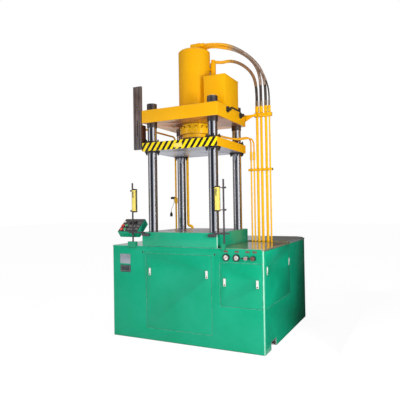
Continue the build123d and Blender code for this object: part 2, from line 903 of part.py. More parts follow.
# Flanged guide bushes above and below the platen, with their bolts; the lower ones sit in shallow seats
with BuildPart() as guide_bushes:
    for way, face in ((1, platen_top), (-1, platen_bottom + bush_seat_depth)):
        upward = Plane(origin=(0, 0, face), x_dir=(1, 0, 0), z_dir=(0, 0, way))
        with Locations(upward):
            with column_spots():
                Cylinder(bush_flange_radius, bush_flange_thickness, align=plane_up)
                Cylinder(bush_radius, bush_length, align=(Align.CENTER, Align.CENTER, Align.MAX))
                Cylinder(column_radius + bush_running_gap, 2 * bush_length, mode=Mode.SUBTRACT)
                with PolarLocations(bush_bolt_circle, bush_bolts):
                    Cylinder(bush_bolt_shank + bolt_fit, bush_flange_thickness, align=plane_up, mode=Mode.SUBTRACT)
        with Locations(upward.offset(bush_flange_thickness)):
            with column_spots():
                with PolarLocations(bush_bolt_circle, bush_bolts):
                    Cylinder(bush_bolt_radius, bush_bolt_head, align=plane_up)
        with Locations(upward.offset(-bush_bolt_depth)):
            with column_spots():
                with PolarLocations(bush_bolt_circle, bush_bolts):
                    Cylinder(bush_bolt_shank, bush_bolt_depth + bush_flange_thickness, align=plane_up)
finish(guide_bushes, "guide_bushes")

# Port block on the cylinder's top
port_rows = (-port_spacing, 0, port_spacing)
port_block_right = port_block_x + port_block_length / 2
hose_start_x = port_block_right + port_fitting_length
with BuildPart() as port_block:
    disc((port_block_x, 0, cylinder_top), port_neck_radius, port_neck_height)
    block((port_block_x - port_block_length / 2, -port_block_width / 2, port_bottom),
          (port_block_right, port_block_width / 2, port_bottom + port_block_height))
    for y in port_rows:
        round_bar(facing_right(y, port_height, port_block_right), port_fitting_radius, 0, port_fitting_length)
finish(port_block, "port_block")

# Valve box on the crown, with its lid
box_top = crown_top + valve_box_height
box_back = valve_box_front + valve_box_depth
lid_rim = cover_fit + valve_box_lid_step
with BuildPart() as valve_box:
    block((valve_box_left, valve_box_front, crown_top),
          (valve_box_right, box_back, box_top - valve_box_wall))
    block((valve_box_left + valve_box_wall, valve_box_front + valve_box_wall, crown_top + valve_box_wall),
          (valve_box_right - valve_box_wall, box_back - valve_box_wall, box_top - valve_box_wall),
          mode=Mode.SUBTRACT)
    with BuildSketch(Plane.XY.offset(box_top - valve_box_lid)):
        with Locations(((valve_box_left + valve_box_right) / 2, (valve_box_front + box_back) / 2)):
            Rectangle(valve_box_right - valve_box_left + 2 * lid_rim, valve_box_depth + 2 * lid_rim)
            Rectangle(valve_box_right - valve_box_left + 2 * cover_fit, valve_box_depth + 2 * cover_fit,
                      mode=Mode.SUBTRACT)
    extrude(amount=valve_box_lid)
    block((valve_box_left - lid_rim, valve_box_front - lid_rim, box_top - valve_box_wall),
          (valve_box_right + lid_rim, box_back + lid_rim, box_top))
finish(valve_box, "valve_box")

# Black plugs and the short conduit on the crown's right edge
with BuildPart() as crown_fittings:
    for y in plug_rows:
        face = facing_right(y, crown_top - plug_drop, crown_width / 2)
        round_bar(face, plug_flange_radius, 0, plug_flange_thickness)
        round_bar(face, plug_neck_radius, plug_flange_thickness, plug_flange_thickness + plug_neck_length)
    conduit_right = crown_width / 2 - crown_edge
    block((conduit_right - conduit_width, conduit_front, crown_top),
          (conduit_right, conduit_back, crown_top + conduit_height))
finish(crown_fittings, "crown_fittings")

# Rigid pressure pipes, each with a collar on the rear cover and a socket on top
with BuildPart() as pressure_pipes:
    for x, radius, top, socket in pressure_pipe_list:
        disc((x, pipe_row_y, manifold_top), radius, top + socket - manifold_top)
        disc((x, pipe_row_y, top), radius + socket_rim, socket)
        disc((x, pipe_row_y, table_height), radius + pipe_collar_rim, pipe_collar_height)
finish(pressure_pipes, "pressure_pipes")

# Hose ferrules on the sockets of the long pipes
long_socket_top = long_pipe_top + socket_height
hose_end_z = long_socket_top + ferrule_height
with BuildPart() as hose_ferrules:
    for x in thick_pipe_x:
        disc((x, pipe_row_y, long_socket_top), thick_hose_radius + ferrule_rim, ferrule_height)
    disc((thin_pipe_x, pipe_row_y, long_socket_top), thin_hose_radius + ferrule_rim, ferrule_height)
finish(hose_ferrules, "hose_ferrules")

# Pipe clamps: the upper one on an arm from the crown's back face, the lower one on the pipes
clamp_bottom = clamp_centre_z - clamp_height / 2
clamp_front = pipe_row_y - clamp_half_depth
with BuildPart() as pipe_clamps:
    with BuildSketch(facing_front(0, 0, crown_depth / 2)):
        with BuildLine():
            Polyline((clamp_pad_left, crown_top - crown_edge),
                     (clamp_pad_left, crown_top - clamp_arm_root_height),
                     (clamp_pad_right, crown_top - clamp_arm_root_height), (clamp_left, clamp_bottom),
                     (clamp_left + clamp_arm_reach, clamp_bottom),
                     (clamp_left + clamp_arm_reach, crown_top - crown_edge), close=True)
        make_face()
    extrude(amount=-clamp_arm_plate)
    block((clamp_left, crown_depth / 2 + clamp_arm_plate, clamp_bottom),
          (clamp_left + clamp_arm_reach, clamp_front, crown_top - crown_edge))
    for left, bottom, height in ((clamp_left, clamp_bottom, clamp_height),
                                 (lower_clamp_left, lower_clamp_z - lower_clamp_height / 2, lower_clamp_height)):
        block((left, clamp_front, bottom), (clamp_right, pipe_row_y, bottom + height))
    for x, radius, top, socket in pressure_pipe_list:
        disc((x, pipe_row_y, manifold_top), radius + clamp_fit, hose_end_z - manifold_top, Mode.SUBTRACT)
    for x in clamp_bolt_x:
        for z in (clamp_centre_z, lower_clamp_z):
            round_bar(facing_front(x, z, clamp_front), clamp_bolt_radius, 0, clamp_bolt_head)
    round_bar(facing_front(lower_clamp_bolt_x, lower_clamp_z, clamp_front), clamp_bolt_radius, 0, clamp_bolt_head)
with BuildPart() as clamp_backs:
    for left, bottom, height in ((clamp_left, clamp_bottom, clamp_height),
                                 (lower_clamp_left, lower_clamp_z - lower_clamp_height / 2, lower_clamp_height)):
        block((left, pipe_row_y, bottom), (clamp_right, pipe_row_y + clamp_half_depth, bottom + height))
    for x, radius, top, socket in pressure_pipe_list:
        disc((x, pipe_row_y, manifold_top), radius + clamp_fit, hose_end_z - manifold_top, Mode.SUBTRACT)
gather("pipe_clamps", pipe_clamps, clamp_backs)

# Top hoses, from the port block and the side adaptor to the ferrules
start_x = hose_start_x
pilot_route = [(start_x, port_rows[0], port_height), (222, port_rows[0], port_height), (310, 24, 3212),
               (405, 112, 3196), (505, 214, 3148), (590, 302, 3076), (650, 372, 2988), (694, 428, 2880),
               (716, 456, 2780), (thin_pipe_x, pipe_row_y, 2705), (thin_pipe_x, pipe_row_y, hose_end_z)]
outer_route = [(start_x, port_rows[1], port_height), (222, port_rows[1], port_height), (310, 62, 3220),
               (405, 150, 3204), (505, 252, 3152), (588, 342, 3076), (645, 410, 2988), (674, 452, 2876),
               (thick_pipe_x[2], pipe_row_y, 2740), (thick_pipe_x[2], pipe_row_y, hose_end_z)]
middle_route = [(start_x, port_rows[2], port_height), (222, port_rows[2], port_height), (310, 108, 3196),
                (400, 196, 3188), (490, 290, 3148), (556, 370, 3088), (602, 430, 3000), (621, 458, 2890),
                (thick_pipe_x[1], pipe_row_y, 2755), (thick_pipe_x[1], pipe_row_y, hose_end_z)]
outlet_end = (adaptor_x + adaptor_outlet_length * outlet_direction[0],
              adaptor_y + adaptor_outlet_length * outlet_direction[1], outlet_z)
outlet_run = 60
inner_route = [outlet_end, (outlet_end[0] + outlet_run * outlet_direction[0],
                            outlet_end[1] + outlet_run * outlet_direction[1], outlet_z),
               (335, 212, 3072), (402, 290, 3070), (470, 360, 3032), (528, 418, 2968), (562, 452, 2880),
               (thick_pipe_x[0], pipe_row_y, 2745), (thick_pipe_x[0], pipe_row_y, hose_end_z)]
cord("pilot_hose", pilot_route, thin_hose_radius)
cord("main_hose_outer", outer_route, thick_hose_radius)
cord("main_hose_middle", middle_route, thick_hose_radius)
cord("main_hose_inner", inner_route, thick_hose_radius)

# Lower hoses, from the gland ring's ports to the short pipes
short_top = short_pipe_top + short_socket_height
lower_front_route = [(lower_port_reach, lower_port_y[0], lower_port_height), (232, lower_port_y[0], lower_port_height),
                     (282, -4, 2196), (338, 34, 2172), (396, 92, 2158), (444, 166, 2156), (482, 252, 2170),
                     (510, 338, 2190), (526, 414, 2186), (530, 458, 2150), (short_pipe_x[1], pipe_row_y, 2097),
                     (short_pipe_x[1], pipe_row_y, short_top)]
lower_back_route = [(lower_port_reach, lower_port_y[1], lower_port_height), (226, lower_port_y[1], lower_port_height),
                    (270, 40, 2202), (322, 74, 2184), (378, 126, 2172), (426, 192, 2170), (464, 272, 2186),
                    (488, 352, 2204), (496, 420, 2192), (495, 458, 2152), (short_pipe_x[0], pipe_row_y, 2097),
                    (short_pipe_x[0], pipe_row_y, short_top)]
cord("lower_hose_front", lower_front_route, thin_hose_radius)
cord("lower_hose_back", lower_back_route, thin_hose_radius)

# Yellow pipes at the rear left: the cable riser and the leak return, with the sensor clip
riser_route = [(riser_x, riser_y, table_height - pipe_foot_depth), (riser_x, riser_y, riser_run_z),
               (riser_x, riser_run_front, riser_run_z)]
return_angle = atan2(return_y, return_x)
gland_edge = gland_radius - lower_port_radius
return_route = [(gland_edge * cos(return_angle), gland_edge * sin(return_angle), return_top),
                (return_x, return_y, return_top), (return_x, return_y, return_bottom),
                (return_end_x, return_y, return_bottom), (return_end_x, return_y, table_height - pipe_foot_depth)]
riser_bar, riser_length = swept_bar(riser_route, riser_radius, riser_bend)
return_bar, return_length = swept_bar(return_route, return_radius, [return_upper_bend, return_bend, return_bend])
with BuildPart() as rear_pipes:
    add(riser_bar.part)
    add(return_bar.part)
    disc((0, 0, gland_bottom - 1), gland_radius + cover_fit, gland_thickness - gland_flange_thickness + 1,
         Mode.SUBTRACT)
    for x, y, radius in ((riser_x, riser_y, riser_radius), (return_end_x, return_y, return_radius)):
        disc((x, y, table_height), radius + pipe_collar_rim, pipe_collar_height)
    block((riser_x - clip_width / 2, riser_y - clip_width / 2, clip_bottom),
          (riser_x + clip_width / 2, riser_y + clip_width / 2, clip_bottom + clip_height))
finish(rear_pipes, "rear_pipes")

# Sensor on the clip, its lead and its plug
wedge_right = riser_x - clip_width / 2
with BuildPart() as sensor_plug:
    disc((lead_route[-1][0], lead_route[-1][1], lead_route[-1][2] - plug_length), plug_radius, plug_length * 0.7)
    disc((lead_route[-1][0], lead_route[-1][1], lead_route[-1][2] - plug_length), plug_waist, plug_length)
finish(sensor_plug, "sensor_plug")
with BuildPart() as sensor:
    block((wedge_right - wedge_length, riser_y - wedge_depth / 2, lead_route[0][2]),
          (wedge_right, riser_y + wedge_depth / 2, lead_route[0][2] + wedge_height))
    chamfer(sensor.faces().sort_by(Axis.X)[0].edges().filter_by(Axis.Y), wedge_height / 3)
finish(sensor, "sensor")
cord("sensor_lead", lead_route, lead_radius)

# Limit-switch rail with its bracket, and the switch behind it
rail_back = rail_front + rail_depth
switch_left = switch_right - switch_width
lever_y = rail_back + lever_pivot_back
lever_z = switch_bottom + lever_pivot_rise
with BuildPart() as limit_rail:
    block((rail_left, rail_front, rail_bottom), (rail_right, rail_back, rail_top))
    for side in (-1, 1):
        x = (rail_left + rail_right) / 2 + side * rail_width / 4
        block((x - rail_groove / 2, rail_front, rail_bottom),
              (x + rail_groove / 2, rail_front + rail_groove_depth, rail_top), mode=Mode.SUBTRACT)
    middle = (rail_left + rail_right) / 2
    block((middle - rail_slot_width / 2, rail_front, rail_slot_bottom),
          (middle + rail_slot_width / 2, rail_back, rail_slot_bottom + rail_slot_length), mode=Mode.SUBTRACT)
    round_bar(facing_front(middle, rail_hole_z, rail_front), rail_hole_radius, -rail_depth, 0, Mode.SUBTRACT)
    block((rail_left + rail_width / 4, rail_back, rail_bracket_bottom),
          (-crown_width / 2, rail_back + rail_bracket_plate, rail_bracket_bottom + rail_bracket_height))
    block((-crown_width / 2 - rail_bracket_plate, rail_back, rail_bracket_bottom),
          (-crown_width / 2, rail_back + rail_bracket_depth, rail_bracket_bottom + rail_bracket_height))
with BuildPart() as limit_switch:
    block((switch_left, rail_back, switch_bottom), (switch_right, rail_back + switch_depth, switch_bottom + switch_height))
    chamfer(limit_switch.edges().filter_by(Axis.X), bed_edge)
    round_bar(facing_right(lever_y, lever_z, switch_right), lever_pivot_radius + control_fit,
              -lever_pivot_depth - lever_gap, 0, Mode.SUBTRACT)
gather("limit_rail", limit_rail, limit_switch)

with BuildPart() as switch_lever:
    pivot = facing_right(lever_y, lever_z, switch_right)
    round_bar(pivot, lever_pivot_radius, -lever_pivot_depth, lever_gap)
    with BuildSketch(pivot.offset(lever_gap)):
        SlotCenterPoint((0, lever_length / 2), (0, lever_length), lever_width)
    extrude(amount=lever_thickness)
    round_bar(facing_right(lever_y, lever_z + lever_length, switch_right), roller_radius,
              lever_gap + lever_thickness, lever_gap + lever_thickness + roller_width)
finish(switch_lever, "switch_lever")

# Trip bracket on the platen's left face
with BuildPart() as trip_bracket:
    trip_right = -platen_width / 2
    block((trip_right - trip_plate, trip_front, trip_bottom), (trip_right, trip_front + trip_depth, trip_top))
    dog_back = trip_front + trip_depth - bed_edge
    block((rail_right - trip_dog_overlap, dog_back - trip_dog_depth, trip_dog_z - trip_dog_height / 2),
          (trip_right - trip_plate, dog_back, trip_dog_z + trip_dog_height / 2))
finish(trip_bracket, "trip_bracket")

# Light curtains: transmitter and receiver, each with two end caps
with BuildPart() as light_curtains:
    for x in (left_curtain_x, right_curtain_x):
        block((x - curtain_width / 2, curtain_y - curtain_depth / 2, curtain_bottom + curtain_cap),
              (x + curtain_width / 2, curtain_y + curtain_depth / 2, curtain_bottom + curtain_length - curtain_cap))
    fillet(light_curtains.edges().filter_by(Axis.Z), bed_edge)
with BuildPart() as curtain_caps:
    for x in (left_curtain_x, right_curtain_x):
        for z in (curtain_bottom, curtain_bottom + curtain_length - curtain_cap):
            block((x - curtain_width / 2, curtain_y - curtain_depth / 2, z),
                  (x + curtain_width / 2, curtain_y + curtain_depth / 2, z + curtain_cap))
    chamfer(curtain_caps.faces().group_by(Axis.Z)[0].edges().filter_by(Axis.Y), curtain_cap_edge)
    chamfer(curtain_caps.faces().group_by(Axis.Z)[-1].edges().filter_by(Axis.Y), curtain_cap_edge)
gather("light_curtains", light_curtains, curtain_caps)

# Posts, feet, cross bars, clamps and knobs that carry the curtains
with BuildPart() as curtain_posts:
    for side, x, y, face_x, foot in ((-1, left_post_x, left_post_y, left_curtain_x - curtain_width / 2, left_foot_width),
                                     (1, right_post_x, right_post_y, right_curtain_x + curtain_width / 2,
                                      right_foot_width)):
        disc((x, y, table_height), post_radius, post_top - table_height)
        block((x - foot / 2, y - foot_depth / 2, table_height), (x + foot / 2, y + foot_depth / 2, table_height + foot_height))
        block((x - foot / 2, -base_front - foot_lip_thickness, table_height - foot_lip_drop),
              (x + foot / 2, -base_front, table_height + foot_height))
        block((x - foot / 2, -base_front - foot_lip_thickness, table_height),
              (x + foot / 2, y, table_height + foot_height))
        for z in stud_heights:
            disc((x, y, z - stud_collar_height / 2), stud_collar_radius, stud_collar_height)
            round_bar(facing_right(y, z, x), stud_radius, 0, face_x - x)
            round_bar(facing_right(y, z, x), knob_radius, side * stud_radius,
                      side * (stud_collar_radius + knob_length))
        bar_back = -bed_front - bar_gap
        block((x - bar_clamp_half, bar_back - bar_size - bar_gap, bar_bottom - bar_gap),
              (x + bar_clamp_half, y, bar_bottom + bar_size + bar_gap))
    block((left_bar_left, bar_back - bar_size, bar_bottom),
          (left_block_left + bar_overlap, bar_back, bar_bottom + bar_size))
    block((right_block_left + block_width - bar_overlap, bar_back - bar_size, bar_bottom),
          (right_bar_right, bar_back, bar_bottom + bar_size))
    for left in (left_block_left, right_block_left):
        block((left, -bed_front - block_depth, bar_bottom - block_height),
              (left + block_width, -bed_front, bar_bottom))
finish(curtain_posts, "curtain_posts")

# Console: sloped box with a black panel, its back plate, lamp and labels
console_plane = Plane(origin=(console_left, console_front_y, console_front_z), x_dir=(1, 0, 0),
                      z_dir=(0, -sin(radians(console_slope)), cos(radians(console_slope))))
panel_plane = console_plane.offset(console_panel_thickness)
console_centre = (console_width / 2, console_length / 2)
control_spots = [(spot, button_neck_radius) for spot in mushroom_spots + push_spots]
control_spots += [(spot, selector_shaft_radius) for spot in selector_spots]
with BuildPart() as console_box:
    with BuildSketch(console_plane):
        with Locations(console_centre):
            RectangleRounded(console_width, console_length, console_edge)
    extrude(amount=-console_thickness)
    with BuildSketch(console_plane.offset(-console_wall)):
        with Locations(console_centre):
            RectangleRounded(console_width - 2 * console_wall, console_length - 2 * console_wall,
                             console_edge - console_wall)
    extrude(amount=-console_thickness, mode=Mode.SUBTRACT)
    with BuildSketch(console_plane):
        for spot, radius in control_spots:
            with Locations(spot):
                Circle(radius + control_fit)
    extrude(amount=-console_wall, mode=Mode.SUBTRACT)
with BuildPart() as console_panel:
    with BuildSketch(console_plane):
        with Locations(console_centre):
            Rectangle(console_width - 2 * console_panel_inset, console_length - 2 * console_panel_inset)
        for spot, radius in control_spots:
            with Locations(spot):
                Circle(radius + control_fit, mode=Mode.SUBTRACT)
    extrude(amount=console_panel_thickness)
    with Locations(panel_plane):
        with Locations(lamp_spot):
            Cylinder(lamp_radius, lamp_height, align=plane_up)
        with Locations(*label_spots):
            Box(label_width, label_depth, label_height, align=plane_up)
with BuildPart() as console_back:
    with BuildSketch(console_plane.offset(-console_thickness)):
        with Locations(console_centre):
            RectangleRounded(console_width, console_length, console_edge)
    extrude(amount=-console_wall)
gather("console_box", console_box, console_back)
finish(console_panel, "console_panel")

# Push buttons, held by a collar behind the panel
rise = console_panel_thickness + button_travel + button_end_gap
for name, spot, head_radius in (("red_button_upper", mushroom_spots[0], button_head_radius),
                                ("red_button_lower", mushroom_spots[1], button_head_radius),
                                ("green_button_upper", push_spots[0], push_head_radius),
                                ("green_button_lower", push_spots[1], push_head_radius)):
    with BuildPart() as button:
        with Locations(console_plane.offset(rise)):
            with Locations(spot):
                Cylinder(head_radius, button_head_height, align=plane_up)
        fillet(button.edges().group_by(Axis.Z)[-1], bed_edge)
        with Locations(console_plane.offset(-console_wall - button_end_gap - button_collar_height)):
            with Locations(spot):
                Cylinder(button_neck_radius + button_collar_rim, button_collar_height, align=plane_up)
                Cylinder(button_neck_radius, console_wall + button_end_gap + button_collar_height + rise,
                         align=plane_up)
    finish(button, name)

# Selector knobs with a grip bar, each on its own shaft
for name, spot in zip(("selector_left", "selector_middle", "selector_right"), selector_spots):
    with BuildPart() as selector:
        with Locations(panel_plane.offset(button_end_gap)):
            with Locations(spot):
                Cylinder(selector_radius, selector_height, align=plane_up)
                Box(selector_grip, 2 * selector_radius, 2 * selector_height, align=plane_up)
        with Locations(console_plane.offset(-console_wall - button_end_gap - button_collar_height)):
            with Locations(spot):
                Cylinder(selector_shaft_radius + button_collar_rim, button_collar_height, align=plane_up)
                Cylinder(selector_shaft_radius, console_wall + 2 * button_end_gap + button_collar_height
                         + console_panel_thickness, align=plane_up)
    finish(selector, name)

# Console arm: a bar from the console's side to a gusset on the bed's left face
with BuildPart() as console_arm:
    block((console_left + console_width, arm_front, arm_bottom),
          (-bed_width / 2, arm_front + arm_depth, arm_bottom + arm_height))
    middle = arm_front + arm_depth / 2
    block((-bed_width / 2 - gusset_plate, middle - gusset_width / 2, gusset_bottom),
          (-bed_width / 2, middle + gusset_width / 2, arm_bottom + arm_height))
finish(console_arm, "console_arm")

# Pressure gauges with a recessed dial, and their needles
dial_y = -base_front - gauge_front_depth + gauge_dial_recess
with BuildPart() as gauges:
    for x in gauge_x:
        face = facing_front(x, control_height)
        round_bar(face, gauge_radius, 0, gauge_front_depth)
        round_bar(face, gauge_case_radius, -gauge_case_depth, 0)
        round_bar(face, gauge_radius - gauge_rim, gauge_front_depth - gauge_dial_recess, gauge_front_depth,
                  Mode.SUBTRACT)
        round_bar(facing_front(x, control_height, dial_y), needle_shaft_radius + control_fit,
                  -needle_shaft_depth - needle_gap, 0, Mode.SUBTRACT)
finish(gauges, "gauges")

for name, x in zip(("gauge_needle_left", "gauge_needle_right"), gauge_x):
    with BuildPart() as needle:
        face = facing_front(x, control_height, dial_y)
        round_bar(face, needle_shaft_radius, -needle_shaft_depth, needle_gap)
        round_bar(face, needle_hub_radius, needle_gap, needle_gap + needle_hub_height)
        with BuildSketch(face.offset(needle_gap)):
            with Locations(Rotation(0, 0, 225)):
                Rectangle(needle_length, needle_width, align=(Align.MIN, Align.CENTER))
        extrude(amount=needle_thickness)
    finish(needle, name)

# Valve knobs on the front: a hub with wings, and a round knob
with BuildPart() as relief_knob:
    face = facing_front(relief_knob_x, control_height)
    round_bar(face, relief_hub_radius, button_end_gap, relief_hub_length)
    round_bar(face, knob_stem_radius, -knob_stem_depth, button_end_gap)
    round_bar(face, knob_stem_radius + knob_collar_rim, -cabinet_sheet - button_end_gap - knob_collar_height,
              -cabinet_sheet - button_end_gap)
    with BuildSketch(face.offset(relief_hub_length)):
        SlotOverall(relief_wing_span, relief_wing_width)
    extrude(amount=-relief_wing_depth)
finish(relief_knob, "relief_knob")

with BuildPart() as flow_knob:
    face = facing_front(flow_knob_x, control_height)
    round_bar(face, flow_knob_radius, button_end_gap, flow_knob_length)
    round_bar(face, relief_hub_radius / 2, flow_knob_length, flow_knob_length + flow_knob_cap)
    round_bar(face, knob_stem_radius, -knob_stem_depth, button_end_gap)
    round_bar(face, knob_stem_radius + knob_collar_rim, -cabinet_sheet - button_end_gap - knob_collar_height,
              -cabinet_sheet - button_end_gap)
finish(flow_knob, "flow_knob")

# Bare plates on the cabinet's front
with BuildPart() as name_plates:
    for left, bottom, width, height in plate_spots:
        block((left, -base_front - plate_thickness, bottom), (left + width, -base_front, bottom + height))
finish(name_plates, "name_plates")

# Power unit: oil tank, valve manifold under the pipes, and the motor with its pump
with BuildPart() as oil_tank:
    block((tank_left, tank_front, skid_height), (tank_right, tank_back, tank_top))
    block((tank_left + tank_wall, tank_front + tank_wall, skid_height + tank_wall),
          (tank_right - tank_wall, tank_back - tank_wall, tank_top - tank_wall), mode=Mode.SUBTRACT)

with BuildPart() as valve_manifold:
    block((min(short_pipe_x) - thin_pipe_radius - manifold_margin, pipe_row_y - manifold_depth / 2, tank_top),
          (thin_pipe_x + thin_pipe_radius + manifold_margin, pipe_row_y + manifold_depth / 2, manifold_top))
gather("oil_tank", oil_tank, valve_manifold)

motor_z = tank_top + motor_foot + motor_radius
with BuildPart() as pump_motor:
    axis = facing_front(motor_x, motor_z, motor_front)
    round_bar(axis, motor_radius, -motor_length, 0)
    round_bar(axis, bell_radius, 0, bell_length)
    round_bar(axis, pump_radius, bell_length, bell_length + pump_length)
    block((motor_x - motor_foot_width / 2, motor_front, tank_top),
          (motor_x + motor_foot_width / 2, motor_front + motor_length, tank_top + motor_foot + motor_radius / 2))
finish(pump_motor, "pump_motor")
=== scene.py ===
import json
from math import cos, pi, radians, sin

import bmesh
import bpy
from mathutils import Matrix, Vector


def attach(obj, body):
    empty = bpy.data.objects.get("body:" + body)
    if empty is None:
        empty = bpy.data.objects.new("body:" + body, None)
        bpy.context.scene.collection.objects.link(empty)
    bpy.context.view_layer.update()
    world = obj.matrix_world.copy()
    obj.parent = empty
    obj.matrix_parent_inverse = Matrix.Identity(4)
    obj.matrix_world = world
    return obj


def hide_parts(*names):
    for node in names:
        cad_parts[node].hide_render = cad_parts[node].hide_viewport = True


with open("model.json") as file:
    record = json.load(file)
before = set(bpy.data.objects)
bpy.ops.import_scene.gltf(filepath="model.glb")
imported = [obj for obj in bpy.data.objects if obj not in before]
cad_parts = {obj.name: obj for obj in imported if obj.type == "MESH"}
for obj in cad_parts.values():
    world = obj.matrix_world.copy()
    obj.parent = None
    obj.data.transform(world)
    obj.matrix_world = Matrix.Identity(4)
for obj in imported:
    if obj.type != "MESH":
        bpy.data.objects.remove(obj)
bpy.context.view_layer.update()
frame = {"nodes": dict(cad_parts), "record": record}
cad = frame["nodes"]
bodyOf = {node: body for body, members in frame["record"]["behaviour"]["bodies"].items() for node in members}
scene = bpy.context.scene
print("frame loaded:", len(cad), "nodes")

# camera, solved from the corners of the cabinet, crown and platen
photoCamera = {"lens": 39.6, "azimuth": 26.5, "elevation": -0.9, "roll": -0.9,
               "target": (0.045, 0.0, 1.489), "distance": 4.936}


def show(name, data):
    shown = bpy.data.objects.new(name, data)
    scene.collection.objects.link(shown)
    return shown


def placeCamera(values):
    turn, lift, roll = (radians(values[key]) for key in ("azimuth", "elevation", "roll"))
    back = Vector((sin(turn) * cos(lift), -cos(turn) * cos(lift), sin(lift)))
    right = (-back).cross(Vector((0, 0, 1))).normalized()
    up = right.cross(-back)
    axes = Matrix((right * cos(roll) + up * sin(roll), up * cos(roll) - right * sin(roll), back))
    axes = axes.transposed().to_4x4()
    axes.translation = Vector(values["target"]) + back * values["distance"]
    data = bpy.data.cameras.new("photoCamera")
    data.lens, data.clip_end = values["lens"], 100
    scene.camera = show("photoCamera", data)
    scene.camera.matrix_world = axes


placeCamera(photoCamera)

# nodes and their helpers

grey = (0.5, 0.5, 0.5, 1)
socketKinds = {1: "NodeSocketFloat", 3: "NodeSocketVector", 4: "NodeSocketColor"}


# a colour as a screen shows it, 0 to 255, turned into the shader's values
def tone(red, green, blue):
    return tuple(((v / 255 + 0.055) / 1.055) ** 2.4 if v > 10 else v / 255 / 12.92 for v in (red, green, blue)) + (1,)


# a node tree whose inputs take their kinds from their first values; None stands for a material
def startTree(name, inputs, family="ShaderNodeTree"):
    tree = bpy.data.node_groups.new(name, family)
    if family == "GeometryNodeTree":
        tree.interface.new_socket("Geometry", in_out="INPUT", socket_type="NodeSocketGeometry")
    for label, value in inputs.items():
        kind = "NodeSocketMaterial" if value is None else socketKinds[len(value) if isinstance(value, tuple) else 1]
        socket = tree.interface.new_socket(label, in_out="INPUT", socket_type=kind)
        if value is not None:
            socket.default_value = value
    return tree, tree.nodes.new("NodeGroupInput").outputs


def finishGroup(tree, results):
    for label in results:
        kind = "NodeSocketColor" if label == "Colour" else "NodeSocketFloat"
        tree.interface.new_socket(label, in_out="OUTPUT", socket_type=kind)
    leave = tree.nodes.new("NodeGroupOutput")
    for label, socket in results.items():
        tree.links.new(socket, leave.inputs[label])
    return tree


def addNode(tree, kind, values=None, **settings):
    node = tree.nodes.new(kind)
    for key, value in settings.items():
        setattr(node, key, value)
    for key, value in (values or {}).items():
        if isinstance(value, bpy.types.NodeSocket):
            tree.links.new(value, node.inputs[key])
        else:
            node.inputs[key].default_value = value
    return node


def maths(tree, operation, *values, **settings):
    return addNode(tree, "ShaderNodeMath", dict(enumerate(values)), operation=operation, **settings).outputs[0]


def vectorMaths(tree, operation, *values):
    node = addNode(tree, "ShaderNodeVectorMath", dict(enumerate(values)), operation=operation)
    return node.outputs["Value" if operation == "DOT_PRODUCT" else "Vector"]


def scaled(tree, way, amount):
    return addNode(tree, "ShaderNodeVectorMath", {0: way, "Scale": amount}, operation="SCALE").outputs[0]


def remapped(tree, value, low, high, start=0.0, end=1.0):
    return addNode(tree, "ShaderNodeMapRange", {"Value": value, "From Min": low, "From Max": high, "To Min": start,
                                                "To Max": end}).outputs[0]


def blended(tree, share, first, second):
    return addNode(tree, "ShaderNodeMix", {0: share, 6: first, 7: second}, data_type="RGBA").outputs[2]


def objectPlace(tree):
    return addNode(tree, "ShaderNodeTexCoord").outputs["Object"]


def noise(tree, place, scale, detail, roughness=0.5):
    return addNode(tree, "ShaderNodeTexNoise", {"Vector": place, "Scale": scale, "Detail": detail,
                                                "Roughness": roughness}).outputs["Fac"]


def useGroup(tree, group, values):
    return addNode(tree, "ShaderNodeGroup", values, node_tree=group)


# effects that several finishes share

# sprayed paint: slow mottle between two colours, orange peel and uneven gloss
def buildPaintSkin():
    tree, enter = startTree("paintSkin", {"Colour": grey, "Second Colour": grey, "Mottle Scale": 3.0, "Mottle": 0.5,
                                          "Peel Scale": 260.0, "Low Roughness": 0.3, "High Roughness": 0.45})
    place = objectPlace(tree)
    slow = noise(tree, place, enter["Mottle Scale"], 4.0, 0.6)
    share = remapped(tree, slow, 0.35, 0.65, 0.0, enter["Mottle"])
    rough = remapped(tree, noise(tree, place, 9.0, 3.0), 0.3, 0.7, enter["Low Roughness"], enter["High Roughness"])
    return finishGroup(tree, {"Colour": blended(tree, share, enter["Colour"], enter["Second Colour"]),
                              "Roughness": rough, "Height": noise(tree, place, enter["Peel Scale"], 1.0)})


# a pale line along open edges, partly rubbed paint and partly a painted highlight, broken up by noise, and painted
# shade in the gaps, dark where ambient occlusion finds them closed
def buildEdgeWearAndHighlight():
    tree, enter = startTree("edgeWearAndHighlight", {"Colour": grey, "Rubbed And Highlight Colour": grey, "Width": 0.004, "Strength": 0.6,
                                         "Gap Reach": 0.014, "Gap Shade": 0.7})
    rounded = addNode(tree, "ShaderNodeBevel", {"Radius": enter["Width"]}, samples=4).outputs[0]
    flat = addNode(tree, "ShaderNodeNewGeometry").outputs["Normal"]
    edge = remapped(tree, vectorMaths(tree, "DOT_PRODUCT", rounded, flat), 0.995, 0.86, 0.0, enter["Strength"])
    gate = remapped(tree, noise(tree, objectPlace(tree), 45.0, 3.0), 0.4, 0.55, 0.25, 1.0)
    light = addNode(tree, "ShaderNodeAmbientOcclusion", {"Distance": enter["Gap Reach"]}, samples=6).outputs["AO"]
    reach = remapped(tree, light, 0.45, 0.85)
    mask = maths(tree, "MULTIPLY", maths(tree, "MULTIPLY", edge, gate), reach)
    # the pale edge colour is partly rubbed paint and partly a painted highlight
    wornAndHighlit = blended(tree, mask, enter["Colour"], enter["Rubbed And Highlight Colour"])
    # painted shade: the colour goes near black in gaps that ambient occlusion finds closed
    gapShade = maths(tree, "MULTIPLY", maths(tree, "SUBTRACT", 1.0, reach), enter["Gap Shade"])
    return finishGroup(tree, {"Colour": blended(tree, gapShade, wornAndHighlit, (0.012, 0.014, 0.012, 1)), "Mask": mask})
